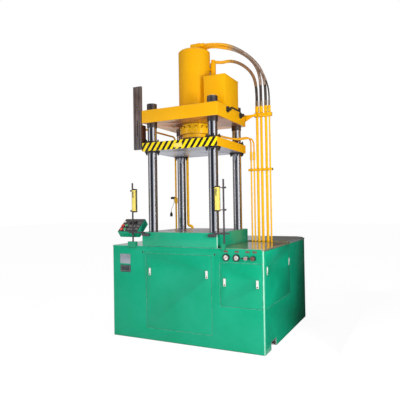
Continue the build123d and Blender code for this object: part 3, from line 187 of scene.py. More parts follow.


# bare steel: tool marks along one way, and faint oil stains; on the crown's underside the stains and warm tone are a
# painted reflection of the yellow cylinder
def buildMachined():
    tree, enter = startTree("machined", {"Colour": grey, "Stain And Reflection Colour": grey, "Marks": (4.0, 400.0, 400.0),
                                         "Stains": 0.4, "Low Roughness": 0.2, "High Roughness": 0.4})
    place = objectPlace(tree)
    marks = noise(tree, vectorMaths(tree, "MULTIPLY", place, enter["Marks"]), 1.0, 2.0)
    share = remapped(tree, noise(tree, place, 5.0, 5.0, 0.65), 0.45, 0.7, 0.0, enter["Stains"])
    rough = remapped(tree, marks, 0.3, 0.7, enter["Low Roughness"], enter["High Roughness"])
    return finishGroup(tree, {"Colour": blended(tree, share, enter["Colour"], enter["Stain And Reflection Colour"]),
                              "Roughness": rough, "Height": marks})


# 1 between two heights along one axis of the object, 0 outside, with a soft edge
def buildBand():
    tree, enter = startTree("bandMask", {"Axis": (0.0, 0.0, 1.0), "From": 0.0, "To": 1.0, "Soft": 0.001})
    along = vectorMaths(tree, "DOT_PRODUCT", objectPlace(tree), enter["Axis"])
    ends = []
    for edge, sign in (("From", 1.0), ("To", -1.0)):
        share = maths(tree, "DIVIDE", maths(tree, "SUBTRACT", along, enter[edge]), enter["Soft"])
        ends.append(maths(tree, "MULTIPLY_ADD", share, sign, 0.5, use_clamp=True))
    return finishGroup(tree, {"Mask": maths(tree, "MULTIPLY", *ends)})


paintSkin, edgeWearAndHighlight, machined, bandMask = buildPaintSkin(), buildEdgeWearAndHighlight(), buildMachined(), buildBand()


def band(low, high, soft, axis=(0.0, 0.0, 1.0)):
    return {"Axis": axis, "From": low, "To": high, "Soft": soft}


def inBand(tree, values):
    return useGroup(tree, bandMask, values).outputs[0]


# finishes

def newMaterial(name, **shader):
    material = bpy.data.materials.new(name)
    material.use_nodes = True
    principled = material.node_tree.nodes["Principled BSDF"]
    for key, value in shader.items():
        principled.inputs[key.replace("_", " ")].default_value = value
    return material, material.node_tree, principled


def dress(tree, shader, seen, skin, strength, distance):
    tree.links.new(seen, shader.inputs["Base Color"])
    tree.links.new(skin["Roughness"], shader.inputs["Roughness"])
    bump(tree, shader, skin["Height"], strength, distance)


def bump(tree, shader, height, strength, distance):
    node = addNode(tree, "ShaderNodeBump", {"Height": height, "Strength": strength, "Distance": distance})
    tree.links.new(node.outputs[0], shader.inputs["Normal"])


# paint whose edges are partly worn and partly a painted highlight; each layer is (band, colour), painted over it before
# the edge wear and highlight
def paint(name, base, second, rubbedAndHighlight, low=0.30, high=0.44, mottle=0.5, wear=0.5, width=0.004, coat=0.08,
          layers=(), mottleScale=3.0, gloss=0.32, polish=None):
    material, tree, shader = newMaterial(name, Coat_Weight=coat, Coat_Roughness=0.12, Specular_IOR_Level=gloss)
    if polish:  # fresh gloss between two heights
        tree.links.new(inBand(tree, polish), shader.inputs["Coat Weight"])
    skin = useGroup(tree, paintSkin, {"Colour": tone(*base), "Second Colour": tone(*second), "Mottle": mottle,
                                      "Mottle Scale": mottleScale, "Low Roughness": low,
                                      "High Roughness": high}).outputs
    seen = skin["Colour"]
    for values, over in layers:
        seen = blended(tree, inBand(tree, values), seen, tone(*over))
    wornAndHighlit = useGroup(tree, edgeWearAndHighlight, {"Colour": seen, "Rubbed And Highlight Colour": tone(*rubbedAndHighlight), "Width": width, "Strength": wear})
    dress(tree, shader, wornAndHighlit.outputs["Colour"], skin, 0.12, 0.0006)
    return material


def steel(name, base, stain, marks, low, high, stains=0.4, metallic=1.0, strength=0.08):
    material, tree, shader = newMaterial(name, Metallic=metallic)
    skin = useGroup(tree, machined, {"Colour": tone(*base), "Stain And Reflection Colour": tone(*stain), "Marks": marks,
                                     "Stains": stains, "Low Roughness": low, "High Roughness": high}).outputs
    dress(tree, shader, skin["Colour"], skin, strength, 0.0004)
    return material


def plastic(name, base, second, low, high, coat=0.0, grain=900.0, strength=0.1):
    material, tree, shader = newMaterial(name, Coat_Weight=coat, Coat_Roughness=0.08)
    skin = useGroup(tree, paintSkin, {"Colour": tone(*base), "Second Colour": tone(*second), "Mottle": 0.6,
                                      "Mottle Scale": 40.0, "Peel Scale": grain, "Low Roughness": low,
                                      "High Roughness": high}).outputs
    dress(tree, shader, skin["Colour"], skin, strength, 0.0003)
    return material


# rubber or nylon with yellow overspray that fades out away from the cylinder
def oversprayed(name, base, second, reach):
    material, tree, shader = newMaterial(name)
    skin = useGroup(tree, paintSkin, {"Colour": tone(*base), "Second Colour": tone(*second), "Mottle": 0.9,
                                      "Mottle Scale": 30.0, "Peel Scale": 700.0, "Low Roughness": 0.45,
                                      "High Roughness": 0.65}).outputs
    place = objectPlace(tree)
    away = vectorMaths(tree, "DOT_PRODUCT", place, (0.82, 0.57, 0.0))
    edge = maths(tree, "MULTIPLY_ADD", noise(tree, place, 35.0, 3.0), 0.16, away)
    mask = remapped(tree, edge, reach + 0.05, reach + 0.13, 1.0, 0.0)
    dress(tree, shader, blended(tree, mask, skin["Colour"], tone(236, 172, 24)), skin, 0.15, 0.0004)
    return material


# paint all round, and machined steel between two heights; the corner is a painted highlight, a pale line down a front
# edge
def steelUnder(name, base, second, rubbedAndHighlight, bare, stain, heights, marks, coat=0.08, corner=None, stripes=None):
    material, tree, shader = newMaterial(name, Coat_Weight=coat, Coat_Roughness=0.1, Specular_IOR_Level=0.32)
    skin = useGroup(tree, paintSkin, {"Colour": tone(*base), "Second Colour": tone(*second), "Mottle": 0.5,
                                      "Low Roughness": 0.28, "High Roughness": 0.42}).outputs
    seen = skin["Colour"]
    if corner:
        # painted highlight: a pale band down the front corner
        seen = blended(tree, inBand(tree, band(corner, 2.0, 0.003, cornerAxis)), seen, tone(214, 242, 228))
    if stripes:
        seen = hazardStripes(tree, seen, stripes)
    wornAndHighlit = useGroup(tree, edgeWearAndHighlight, {"Colour": seen, "Rubbed And Highlight Colour": tone(*rubbedAndHighlight), "Width": 0.005, "Strength": 0.6})
    metal = useGroup(tree, machined, {"Colour": tone(*bare), "Stain And Reflection Colour": tone(*stain), "Marks": marks,
                                      "Low Roughness": 0.22, "High Roughness": 0.4}).outputs
    where = inBand(tree, band(*heights, 0.0004))
    rough = addNode(tree, "ShaderNodeMix", {0: where, 2: skin["Roughness"], 3: metal["Roughness"]}).outputs[0]
    tree.links.new(blended(tree, where, wornAndHighlit.outputs["Colour"], metal["Colour"]), shader.inputs["Base Color"])
    tree.links.new(rough, shader.inputs["Roughness"])
    tree.links.new(maths(tree, "MULTIPLY", where, 0.75), shader.inputs["Metallic"])
    bump(tree, shader, skin["Height"], 0.1, 0.0006)
    return material


# black and yellow slanted bands on the front face only
def hazardStripes(tree, skin, values):
    parts = addNode(tree, "ShaderNodeSeparateXYZ", {0: objectPlace(tree)}).outputs
    rise = maths(tree, "MULTIPLY_ADD", parts["Z"], -values["lean"], values["lean"] * values["bottom"] - values["left"])
    turns = maths(tree, "MULTIPLY", maths(tree, "ADD", rise, parts["X"]), 1 / values["period"])
    dark = maths(tree, "GREATER_THAN", maths(tree, "FRACT", turns), values["share"])
    front = inBand(tree, band(-1.0, values["front"], 0.0004, (0.0, 1.0, 0.0)))
    yellow = blended(tree, front, skin, tone(252, 222, 8))
    return blended(tree, maths(tree, "MULTIPLY", dark, front), yellow, tone(30, 24, 30))


greenTone = {"base": (0, 158, 116), "second": (30, 172, 136), "rubbedAndHighlight": (180, 232, 210)}
yellowTone = {"base": (243, 178, 0), "second": (236, 166, 0), "rubbedAndHighlight": (255, 214, 70)}
yellowRubAndHighlight = yellowTone["rubbedAndHighlight"]
cornerAxis = (0.70711, -0.70711, 0.0)
hazard = {"period": 0.0685, "lean": 0.69, "left": -0.449, "bottom": 2.024, "share": 0.52, "front": -0.4025}

# the cabinet's strong pale edge line is partly wear and partly a painted highlight, and the pale band down its front
# right corner is a painted highlight
cabinetGreen = paint("cabinetGreen", **greenTone, wear=0.85, width=0.005, gloss=0.22, coat=0.03,
                     layers=((band(0.9475, 2.0, 0.004, cornerAxis), (214, 244, 230)),))
panelGreen = paint("panelGreen", **greenTone, wear=0.45, width=0.003, gloss=0.22, coat=0.03)
# on the green top covers the brown base and the pale grey towards the rear are painted reflections of the surroundings;
# the band at the left is the covers' own green
coverGreen = paint("coverGreen", (124, 122, 92), (152, 136, 116), (150, 205, 176), low=0.12, high=0.22, mottle=0.8,
                   coat=0.6, gloss=0.5, layers=((band(0.52, 2.0, 0.02, (0.0, 1.0, 0.0)), (158, 166, 164)),
                                                (band(-2.0, -0.44, 0.004, (1.0, 0.0, 0.0)), (60, 172, 134))))
yellowPaint = paint("yellowPaint", **yellowTone, low=0.3, high=0.42, wear=0.4, gloss=0.22, coat=0.03)
# the brown band at the cylinder's foot is painted shade, and the lighter yellow on the neck below the crown is painted
# light
cylinderYellow = paint("cylinderYellow", (242, 176, 0), (234, 162, 0), yellowRubAndHighlight, low=0.36, high=0.48, wear=0.3,
                       mottleScale=4.5, gloss=0.22, coat=0.0, polish=band(2.20, 2.40, 0.002),
                       layers=((band(2.20, 2.50, 0.12), (158, 96, 8)), (band(2.20, 2.40, 0.01), (252, 198, 6))))
glandYellow = paint("glandYellow", (252, 196, 6), (244, 178, 0), yellowRubAndHighlight, wear=0.5, coat=1.0)
pipeYellow = paint("pipeYellow", (252, 190, 0), (244, 174, 0), yellowRubAndHighlight, wear=0.3, width=0.002)
clampYellow = paint("clampYellow", (248, 184, 0), (236, 164, 0), yellowRubAndHighlight, wear=0.5, width=0.002)
# painted shade: the trip bracket takes the dark brown of the shade it sits in below the crown
tripBrown = paint("tripBrown", (78, 36, 16), (50, 26, 22), (230, 160, 40), wear=0.8, width=0.003, mottle=0.9,
                  mottleScale=24.0)
# painted light: the frame is painted pale grey so that the inside of the lifting notch reads bright
framePaint = paint("framePaint", (186, 186, 180), (168, 166, 160), (210, 210, 206), wear=0.4)
tankPaint = paint("tankPaint", (96, 104, 108), (78, 84, 88), (150, 156, 160), wear=0.4)
motorPaint = paint("motorPaint", (44, 78, 96), (58, 92, 108), (130, 160, 170), wear=0.3)
curtainYellow = paint("curtainYellow", (244, 222, 112), (236, 208, 92), (255, 244, 180), wear=0.3, width=0.0015,
                      mottle=0.3)
postPaint = paint("postPaint", (78, 72, 78), (58, 52, 56), (120, 112, 116), wear=0.5, width=0.002,
                  layers=((band(-1.0, 1.0445, 0.0004), (30, 150, 110)),))
railPaint = paint("railPaint", (88, 74, 70), (116, 100, 96), (150, 132, 128), wear=0.6, width=0.002, mottle=0.9,
                  mottleScale=7.0, low=0.45, high=0.6, layers=((band(0.0, 2.24, 0.3), (96, 90, 90)),))
# the bed's corner band is a painted highlight down its front right edge
bedGreen = steelUnder("bedGreen", **greenTone, bare=(150, 142, 146), stain=(112, 100, 98), heights=(1.1495, 1.2),
                      marks=(9.0, 500.0, 500.0), coat=0.3, corner=0.6165)
# painted reflection: the crown's bare underside is warm with orange stains, standing for the yellow cylinder reflected
# in it
crownYellow = steelUnder("crownYellow", **yellowTone, bare=(214, 172, 138), stain=(196, 122, 52),
                         heights=(2.3, 2.3343), marks=(9.0, 400.0, 400.0))
platenYellow = steelUnder("platenYellow", **yellowTone, bare=(188, 188, 202), stain=(150, 150, 166),
                          heights=(2.0, 2.0244), marks=(9.0, 400.0, 400.0), stripes=hazard)
chromeSteel = steel("chromeSteel", (222, 224, 228), (190, 188, 186), (40.0, 40.0, 3.0), 0.078, 0.09, stains=0.35,
                    strength=0.0004)
nutSteel = steel("nutSteel", (134, 126, 124), (88, 78, 76), (300.0, 300.0, 60.0), 0.35, 0.55, stains=0.8)
zincSteel = steel("zincSteel", (214, 214, 212), (176, 172, 160), (200.0, 200.0, 200.0), 0.28, 0.45)
ferruleSteel = steel("ferruleSteel", (196, 184, 168), (112, 78, 58), (500.0, 500.0, 12.0), 0.2, 0.36, stains=0.9)
bushSteel = steel("bushSteel", (92, 90, 94), (54, 48, 46), (300.0, 300.0, 90.0), 0.3, 0.5, stains=0.7)
blackBolt = steel("blackBolt", (46, 44, 46), (28, 26, 26), (500.0, 500.0, 500.0), 0.35, 0.5)
plateGrey = steel("plateGrey", (164, 172, 182), (128, 138, 150), (8.0, 8.0, 500.0), 0.3, 0.45, stains=0.7,
                  metallic=0.6)
blackPlastic = plastic("blackPlastic", (34, 33, 34), (52, 50, 50), 0.4, 0.6)
consoleBlack = plastic("consoleBlack", (40, 38, 40), (58, 54, 54), 0.35, 0.5, grain=500.0)
redPlastic = plastic("redPlastic", (226, 42, 26), (240, 84, 40), 0.2, 0.3, coat=0.6, strength=0.03)
greenPlastic = plastic("greenPlastic", (24, 158, 84), (40, 190, 110), 0.2, 0.3, coat=0.6, strength=0.03)
whitePlastic = plastic("whitePlastic", (236, 236, 230), (214, 214, 208), 0.25, 0.4, coat=0.3, strength=0.03)
labelGrey = plastic("labelGrey", (150, 148, 142), (120, 118, 114), 0.4, 0.55)
labelRust = plastic("labelRust", (108, 72, 66), (130, 92, 84), 0.4, 0.55)
rimBrown = plastic("rimBrown", (150, 98, 44), (176, 124, 62), 0.35, 0.5)
dialWhite = plastic("dialWhite", (244, 242, 236), (230, 228, 222), 0.35, 0.45, strength=0.02)
plateBlack = plastic("plateBlack", (40, 46, 50), (66, 74, 78), 0.35, 0.5)
hoseRubber = plastic("hoseRubber", (48, 42, 42), (74, 66, 62), 0.45, 0.7, grain=700.0, strength=0.2)
lensGlow = plastic("lensGlow", (238, 236, 214), (250, 250, 240), 0.12, 0.2, coat=0.8, strength=0.02)
guardNylon = oversprayed("guardNylon", (176, 160, 150), (140, 104, 74), 0.38)
innerNylon = oversprayed("innerNylon", (164, 116, 66), (116, 92, 78), 0.42)
topRubber = oversprayed("topRubber", (52, 46, 44), (80, 70, 64), 0.36)
lowerRubber = oversprayed("lowerRubber", (244, 186, 14), (236, 170, 10), 0.9)
glassClear = newMaterial("glassClear", Base_Color=(1, 1, 1, 1), Roughness=0.02, Transmission_Weight=1.0, IOR=1.45)[0]
print("finishes ready:", len(bpy.data.materials))


# mesh helpers

def addPiece(name, mesh, body, materials, replaces=(), sharp=35, smooth=True):
    mesh.name = name
    if len(mesh.materials):  # clearing also puts every face back on the first material
        mesh.materials.clear()
    for material in materials if isinstance(materials, (list, tuple)) else [materials]:
        mesh.materials.append(material)
    if smooth:
        mesh.polygons.foreach_set("use_smooth", [True] * len(mesh.polygons))
    mesh.set_sharp_from_angle(angle=radians(sharp))
    piece = show(name, mesh)
    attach(piece, body)
    if replaces:
        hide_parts(*replaces)
    return piece


def meshFrom(work, name="shape"):
    mesh = bpy.data.meshes.new(name)
    bmesh.ops.remove_doubles(work, verts=work.verts, dist=2e-6)
    work.to_mesh(mesh)
    work.free()
    return mesh


# the CAD node's own shape in its place, its sharp edges rounded; wide flat faces keep flat shading
def softened(name, node, material, width, slot, segments=2, wide=0.02):
    work = bmesh.new()
    work.from_mesh(cad[node].data)
    bmesh.ops.remove_doubles(work, verts=work.verts, dist=1e-5)
    bmesh.ops.dissolve_limit(work, angle_limit=radians(0.5), verts=work.verts, edges=work.edges)
    edges = [e for e in work.edges if len(e.link_faces) == 2 and e.calc_face_angle(0) > radians(32)]
    bmesh.ops.bevel(work, geom=edges, offset=width, segments=segments, profile=0.5, affect="EDGES", clamp_overlap=True)
    work.normal_update()
    for face in work.faces:
        narrow = face.calc_area() / max(edge.calc_length() for edge in face.edges) < wide
        face.smooth = narrow and max(abs(part) for part in face.normal) < 0.9999
    mesh = meshFrom(work)
    if "custom_normal" in mesh.attributes:  # those of the shape before its edges were rounded
        mesh.attributes.remove(mesh.attributes["custom_normal"])
    return addPiece(name, mesh, bodyOf[node], material, (node,), smooth=False)


# a turned shape: profile is (radius, height) pairs along an axis; ends at radius 0 close it
def lathe(profile, centre, axis, steps=48, work=None, material=0):
    work = work or bmesh.new()
    axis = Vector(axis).normalized()
    side = axis.orthogonal().normalized()
    other = axis.cross(side)
    rings = []
    for radius, height in profile:
        middle = Vector(centre) + axis * height
        turns = [2 * pi * k / steps for k in range(steps)] if radius > 1e-6 else [0.0]
        rings.append([work.verts.new(middle + (side * cos(turn) + other * sin(turn)) * radius) for turn in turns])
    made = []
    for low, high in zip(rings, rings[1:]):
        for k in range(steps if len(low) + len(high) > 2 else 0):
            n = (k + 1) % steps
            corners = (low[k % len(low)], low[n % len(low)], high[n % len(high)], high[k % len(high)])
            made.append(work.faces.new(tuple(dict.fromkeys(corners))))
    for face in made:
        face.material_index = material
    bmesh.ops.recalc_face_normals(work, faces=made)
    return work


# a box with rounded edges between two corners, turned by a matrix if given
def roundedBox(low, high, radius, segments=2, work=None, turn=None, material=0):
    work = work or bmesh.new()
    made = bmesh.ops.create_cube(work, size=1.0)["verts"]
    low, high = Vector(low), Vector(high)
    for vert in made:
        vert.co = Vector((low[k] + (vert.co[k] + 0.5) * (high[k] - low[k]) for k in range(3)))
    edges = list({edge for vert in made for edge in vert.link_edges})
    faces = {face for vert in made for face in vert.link_faces}
    result = bmesh.ops.bevel(work, geom=edges, offset=radius, segments=segments, profile=0.5, affect="EDGES",
                             clamp_overlap=True)
    faces = set(result["faces"]) | {face for face in faces if face.is_valid}
    made = list({vert for face in faces for vert in face.verts})
    for face in {face for vert in made for face in vert.link_faces}:
        face.material_index = material
    if turn is not None:
        bmesh.ops.transform(work, matrix=turn, verts=made)
    return work


def ringPoints(centre, radius, count, z):
    return [(centre[0] + radius * cos(2 * pi * k / count), centre[1] + radius * sin(2 * pi * k / count), z)
            for k in range(count)]


# geometry node trees for what repeats or follows a path

def finishTree(tree, enter, result):
    real = addNode(tree, "GeometryNodeRealizeInstances", {0: result})
    coat = addNode(tree, "GeometryNodeSetMaterial", {0: real.outputs[0], "Material": enter["Material"]})
    tree.interface.new_socket("Geometry", in_out="OUTPUT", socket_type="NodeSocketGeometry")
    tree.links.new(coat.outputs[0], tree.nodes.new("NodeGroupOutput").inputs[0])
    return tree


# the result of a tree on a start mesh, as a plain mesh
def growMesh(tree, start, values):
    source = show("growing", start)
    modifier = source.modifiers.new("grow", "NODES")
    modifier.node_group = tree
    names = {item.name: item.identifier for item in tree.interface.items_tree
             if item.item_type == "SOCKET" and item.in_out == "INPUT"}
    for label, value in values.items():
        modifier[names[label]] = value
    bpy.context.view_layer.update()
    made = bpy.data.meshes.new_from_object(source.evaluated_get(bpy.context.evaluated_depsgraph_get()))
    source.modifiers.clear()
    bpy.data.objects.remove(source)
    return made


def dotMesh(points, edges=()):
    mesh = bpy.data.meshes.new("dots")
    mesh.from_pydata([tuple(p) for p in points], edges, [])
    return mesh


def lineMesh(points, closed=False):
    count = len(points)
    return dotMesh(points, [(k, k + 1) for k in range(count - 1)] + ([(count - 1, 0)] if closed else []))


# a flat strip wound round a hose, from its centreline
def buildSpiralGuard():
    tree, enter = startTree("spiralGuard", {"Material": None, "Start": 0.2, "End": 0.8, "Radius": 0.017,
                                            "Pitch": 0.016, "Width": 0.013, "Thickness": 0.0016}, "GeometryNodeTree")
    line = addNode(tree, "GeometryNodeMeshToCurve", {0: enter["Geometry"]}).outputs[0]
    cut = addNode(tree, "GeometryNodeTrimCurve", {"Curve": line, 2: enter["Start"], 3: enter["End"]}, mode="FACTOR")
    fine = addNode(tree, "GeometryNodeResampleCurve", {"Curve": cut.outputs[0], "Length": 0.0011}, mode="LENGTH")
    smooth = addNode(tree, "GeometryNodeSetCurveNormal", {"Curve": fine.outputs[0]}, mode="MINIMUM_TWIST")
    tangent = addNode(tree, "GeometryNodeInputTangent").outputs[0]
    normal = addNode(tree, "GeometryNodeInputNormal").outputs[0]
    across = vectorMaths(tree, "CROSS_PRODUCT", tangent, normal)
    length = addNode(tree, "GeometryNodeSplineParameter").outputs["Length"]
    angle = maths(tree, "MULTIPLY", maths(tree, "DIVIDE", length, enter["Pitch"]), 2 * pi)
    legs = [scaled(tree, way, maths(tree, kind, angle)) for kind, way in (("COSINE", normal), ("SINE", across))]
    keep = addNode(tree, "GeometryNodeStoreNamedAttribute", {
        "Geometry": smooth.outputs[0], "Name": "outward", "Value": vectorMaths(tree, "ADD", *legs)},
        data_type="FLOAT_VECTOR", domain="POINT")
    outward = addNode(tree, "GeometryNodeInputNamedAttribute", {"Name": "outward"}, data_type="FLOAT_VECTOR").outputs[0]
    helix = addNode(tree, "GeometryNodeSetPosition", {"Geometry": keep.outputs[0],
                                                      "Offset": scaled(tree, outward, enter["Radius"])})
    facing = addNode(tree, "GeometryNodeSetCurveNormal", {"Curve": helix.outputs[0], "Normal": outward}, mode="FREE")
    strip = addNode(tree, "GeometryNodeCurvePrimitiveQuadrilateral", {"Width": enter["Thickness"],
                                                                      "Height": enter["Width"]})
    swept = addNode(tree, "GeometryNodeCurveToMesh", {"Curve": facing.outputs[0], "Profile Curve": strip.outputs[0],
                                                      "Fill Caps": True})
    return finishTree(tree, enter, swept.outputs[0])


# small flattened beads along a line, as a weld seam has
def buildBeads():
    tree, enter = startTree("weldBeads", {"Material": None, "Size": 0.004, "Step": 0.004}, "GeometryNodeTree")
    line = addNode(tree, "GeometryNodeMeshToCurve", {0: enter["Geometry"]}).outputs[0]
    points = addNode(tree, "GeometryNodeCurveToPoints", {"Curve": line, "Length": enter["Step"]}, mode="LENGTH")
    bead = addNode(tree, "GeometryNodeMeshIcoSphere", {"Radius": enter["Size"], "Subdivisions": 2})
    vary = addNode(tree, "FunctionNodeRandomValue", {2: 0.85, 3: 1.1, "Seed": 7}, data_type="FLOAT")
    many = addNode(tree, "GeometryNodeInstanceOnPoints", {"Points": points.outputs[0], "Instance": bead.outputs[0],
                                                          "Scale": vary.outputs[1]})
    return finishTree(tree, enter, many.outputs[0])


# round heads with a hexagon socket, one on each point, all turned the same way
def buildScrews():
    tree, enter = startTree("socketHeads", {"Material": None, "Turn": (0.0, 0.0, 0.0), "Radius": 0.008,
                                            "Height": 0.003, "Socket": 0.5}, "GeometryNodeTree")
    radius, height = enter["Radius"], enter["Height"]
    cone = addNode(tree, "GeometryNodeMeshCone", {"Vertices": 20, "Radius Top": maths(tree, "MULTIPLY", radius, 0.88),
                                                  "Radius Bottom": radius, "Depth": height})
    hexagon = addNode(tree, "GeometryNodeMeshCylinder", {
        "Vertices": 6, "Radius": maths(tree, "MULTIPLY", radius, enter["Socket"]), "Depth": height})
    lift = addNode(tree, "ShaderNodeCombineXYZ", {"Z": maths(tree, "MULTIPLY", height, 0.45)})
    raised = addNode(tree, "GeometryNodeTransform", {"Geometry": hexagon.outputs[0], "Translation": lift.outputs[0]})
    cut = addNode(tree, "GeometryNodeMeshBoolean", {0: cone.outputs[0], 1: raised.outputs[0]}, operation="DIFFERENCE")
    many = addNode(tree, "GeometryNodeInstanceOnPoints", {"Points": enter["Geometry"], "Instance": cut.outputs[0],
                                                          "Rotation": enter["Turn"]})
    return finishTree(tree, enter, many.outputs[0])


# thin bars, each pointing away from a centre
def buildTicks():
    tree, enter = startTree("scaleTicks", {"Material": None, "Centre": (0.0, 0.0, 0.0),
                                           "Size": (0.001, 0.001, 0.004)}, "GeometryNodeTree")
    bar = addNode(tree, "GeometryNodeMeshCube", {"Size": enter["Size"]})
    place = addNode(tree, "GeometryNodeInputPosition").outputs[0]
    aim = addNode(tree, "FunctionNodeAlignRotationToVector", {
        "Vector": vectorMaths(tree, "SUBTRACT", place, enter["Centre"])}, axis="Z", pivot_axis="Y")
    many = addNode(tree, "GeometryNodeInstanceOnPoints", {"Points": enter["Geometry"], "Instance": bar.outputs[0],
                                                          "Rotation": aim.outputs[0]})
    return finishTree(tree, enter, many.outputs[0])


spiralGuard, weldBeads, socketHeads, scaleTicks = buildSpiralGuard(), buildBeads(), buildScrews(), buildTicks()

# hoses and the sensor's lead

outletTurn, outletTop = radians(46), 3.043
outletEnd = (0.19831 + 0.046 * cos(outletTurn), 0.07494 + 0.046 * sin(outletTurn), outletTop)
hoseTop, lowerTop, pipeRow = 2.633, 2.047, 0.465
hoseSettings = {
    "pilotHose": {"node": "pilot_hose", "radius": 0.009, "length": 1.115, "guard": (0.12, 0.80), "route": [
        (0.150, -0.050, 3.207), (0.222, -0.050, 3.207), (0.310, 0.024, 3.212), (0.405, 0.112, 3.196),
        (0.505, 0.214, 3.148), (0.590, 0.302, 3.076), (0.650, 0.372, 2.988), (0.694, 0.428, 2.880),
        (0.716, 0.456, 2.780), (0.723, pipeRow, 2.705), (0.723, pipeRow, hoseTop)]},
    "mainHoseOuter": {"node": "main_hose_outer", "radius": 0.016, "length": 1.092, "guard": (0.05, 0.84), "route": [
        (0.150, 0.0, 3.207), (0.222, 0.0, 3.207), (0.310, 0.062, 3.220), (0.405, 0.150, 3.204),
        (0.505, 0.252, 3.152), (0.588, 0.342, 3.076), (0.645, 0.410, 2.988), (0.674, 0.452, 2.876),
        (0.681, pipeRow, 2.740), (0.681, pipeRow, hoseTop)]},
    "mainHoseMiddle": {"node": "main_hose_middle", "radius": 0.016, "length": 1.042, "guard": (0.05, 0.83), "route": [
        (0.150, 0.050, 3.207), (0.222, 0.050, 3.207), (0.310, 0.108, 3.196), (0.400, 0.196, 3.188),
        (0.490, 0.290, 3.148), (0.556, 0.370, 3.088), (0.602, 0.430, 3.000), (0.621, 0.458, 2.890),
        (0.624, pipeRow, 2.755), (0.624, pipeRow, hoseTop)]},
    "mainHoseInner": {"node": "main_hose_inner", "radius": 0.016, "length": 0.807, "guard": (0.0, 0.78), "route": [
        outletEnd, (outletEnd[0] + 0.060 * cos(outletTurn), outletEnd[1] + 0.060 * sin(outletTurn), outletTop),
        (0.335, 0.212, 3.072), (0.402, 0.290, 3.070), (0.470, 0.360, 3.032), (0.528, 0.418, 2.968),
        (0.562, 0.452, 2.880), (0.574, pipeRow, 2.745), (0.574, pipeRow, hoseTop)]},
    "lowerHoseFront": {"node": "lower_hose_front", "radius": 0.009, "length": 0.761, "guard": None, "route": [
        (0.190, -0.024, 2.215), (0.232, -0.024, 2.215), (0.282, -0.004, 2.196), (0.338, 0.034, 2.172),
        (0.396, 0.092, 2.158), (0.444, 0.166, 2.156), (0.482, 0.252, 2.170), (0.510, 0.338, 2.190),
        (0.526, 0.414, 2.186), (0.530, 0.458, 2.150), (0.529, pipeRow, 2.097), (0.529, pipeRow, lowerTop)]},
    "lowerHoseBack": {"node": "lower_hose_back", "radius": 0.009, "length": 0.708, "guard": None, "route": [
        (0.190, 0.024, 2.215), (0.226, 0.024, 2.215), (0.270, 0.040, 2.202), (0.322, 0.074, 2.184),
        (0.378, 0.126, 2.172), (0.426, 0.192, 2.170), (0.464, 0.272, 2.186), (0.488, 0.352, 2.204),
        (0.496, 0.420, 2.192), (0.495, 0.458, 2.152), (0.492, pipeRow, 2.097), (0.492, pipeRow, lowerTop)]},
}
leadSettings = {"radius": 0.0025, "length": 0.167, "route": [
    (-0.558, 0.466, 1.516), (-0.558, 0.466, 1.492), (-0.561, 0.466, 1.466), (-0.567, 0.465, 1.443),
    (-0.577, 0.464, 1.424), (-0.588, 0.463, 1.405), (-0.597, 0.460, 1.380), (-0.597, 0.460, 1.357)]}
plugSettings = {"top": (-0.597, 0.460, 1.357), "profile": (
    (0.0, 0.0), (0.0055, 0.0), (0.0065, -0.003), (0.0085, -0.012), (0.012, -0.019), (0.0165, -0.0215),
    (0.017, -0.024), (0.017, -0.030), (0.0155, -0.0315), (0.017, -0.033), (0.017, -0.046), (0.0155, -0.0475),
    (0.017, -0.049), (0.017, -0.060), (0.015, -0.062), (0.011, -0.062), (0.0108, -0.056), (0.0, -0.056))}


def routeCurve(name, route, radius):
    data = bpy.data.curves.new(name, "CURVE")
    data.dimensions = "3D"
    data.resolution_u = 16
    spline = data.splines.new("NURBS")
    spline.points.add(len(route) - 1)
    for point, place in zip(spline.points, route):
        point.co = (*place, 1)
    spline.order_u = 3
    spline.use_endpoint_u = True
    data.bevel_depth = radius
    data.bevel_resolution = 6
    data.use_fill_caps = True
    return data


# points of the route's own spline, read from a curve with no bevel
def centreline(route):
    bare = show("bareRoute", routeCurve("bareRoute", route, 0.0))
    bpy.context.view_layer.update()
    mesh = bpy.data.meshes.new_from_object(bare.evaluated_get(bpy.context.evaluated_depsgraph_get()))
    points = [vert.co.copy() for vert in mesh.vertices]
    bpy.data.objects.remove(bare)
    return points


def laidLine(name, node, route, radius, material):
    line = show(name, routeCurve(name, route, radius))
    line.data.materials.append(material)
    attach(line, "frame")
    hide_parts(node)
    return line


def makeHose(name, values):
    hose = laidLine(name, values["node"], values["route"], values["radius"],
                    topRubber if values["guard"] else lowerRubber)
    if values["guard"]:
        thin = values["radius"] < 0.012
        wound = growMesh(spiralGuard, lineMesh(centreline(values["route"])), {
            "Material": guardNylon, "Start": values["guard"][0], "End": values["guard"][1],
            "Radius": values["radius"] + 0.0009, "Pitch": 0.012 if thin else 0.016,
            "Width": 0.009 if thin else 0.0125, "Thickness": 0.0014})
        nylon = innerNylon if name == "mainHoseInner" else guardNylon
        addPiece(name + "Guard", wound, "frame", nylon, sharp=40)


for hoseName, hoseValues in hoseSettings.items():
    makeHose(hoseName, hoseValues)
plugMesh = meshFrom(lathe(plugSettings["profile"], plugSettings["top"], (0, 0, 1), 32))
plugPiece = addPiece("sensorPlugBody", plugMesh, "frame", blackPlastic, ("sensor_plug",))
lead = laidLine("sensorLeadLine", "sensor_lead", leadSettings["route"], leadSettings["radius"], hoseRubber)
print("hoses ready:", len(hoseSettings) + 1)

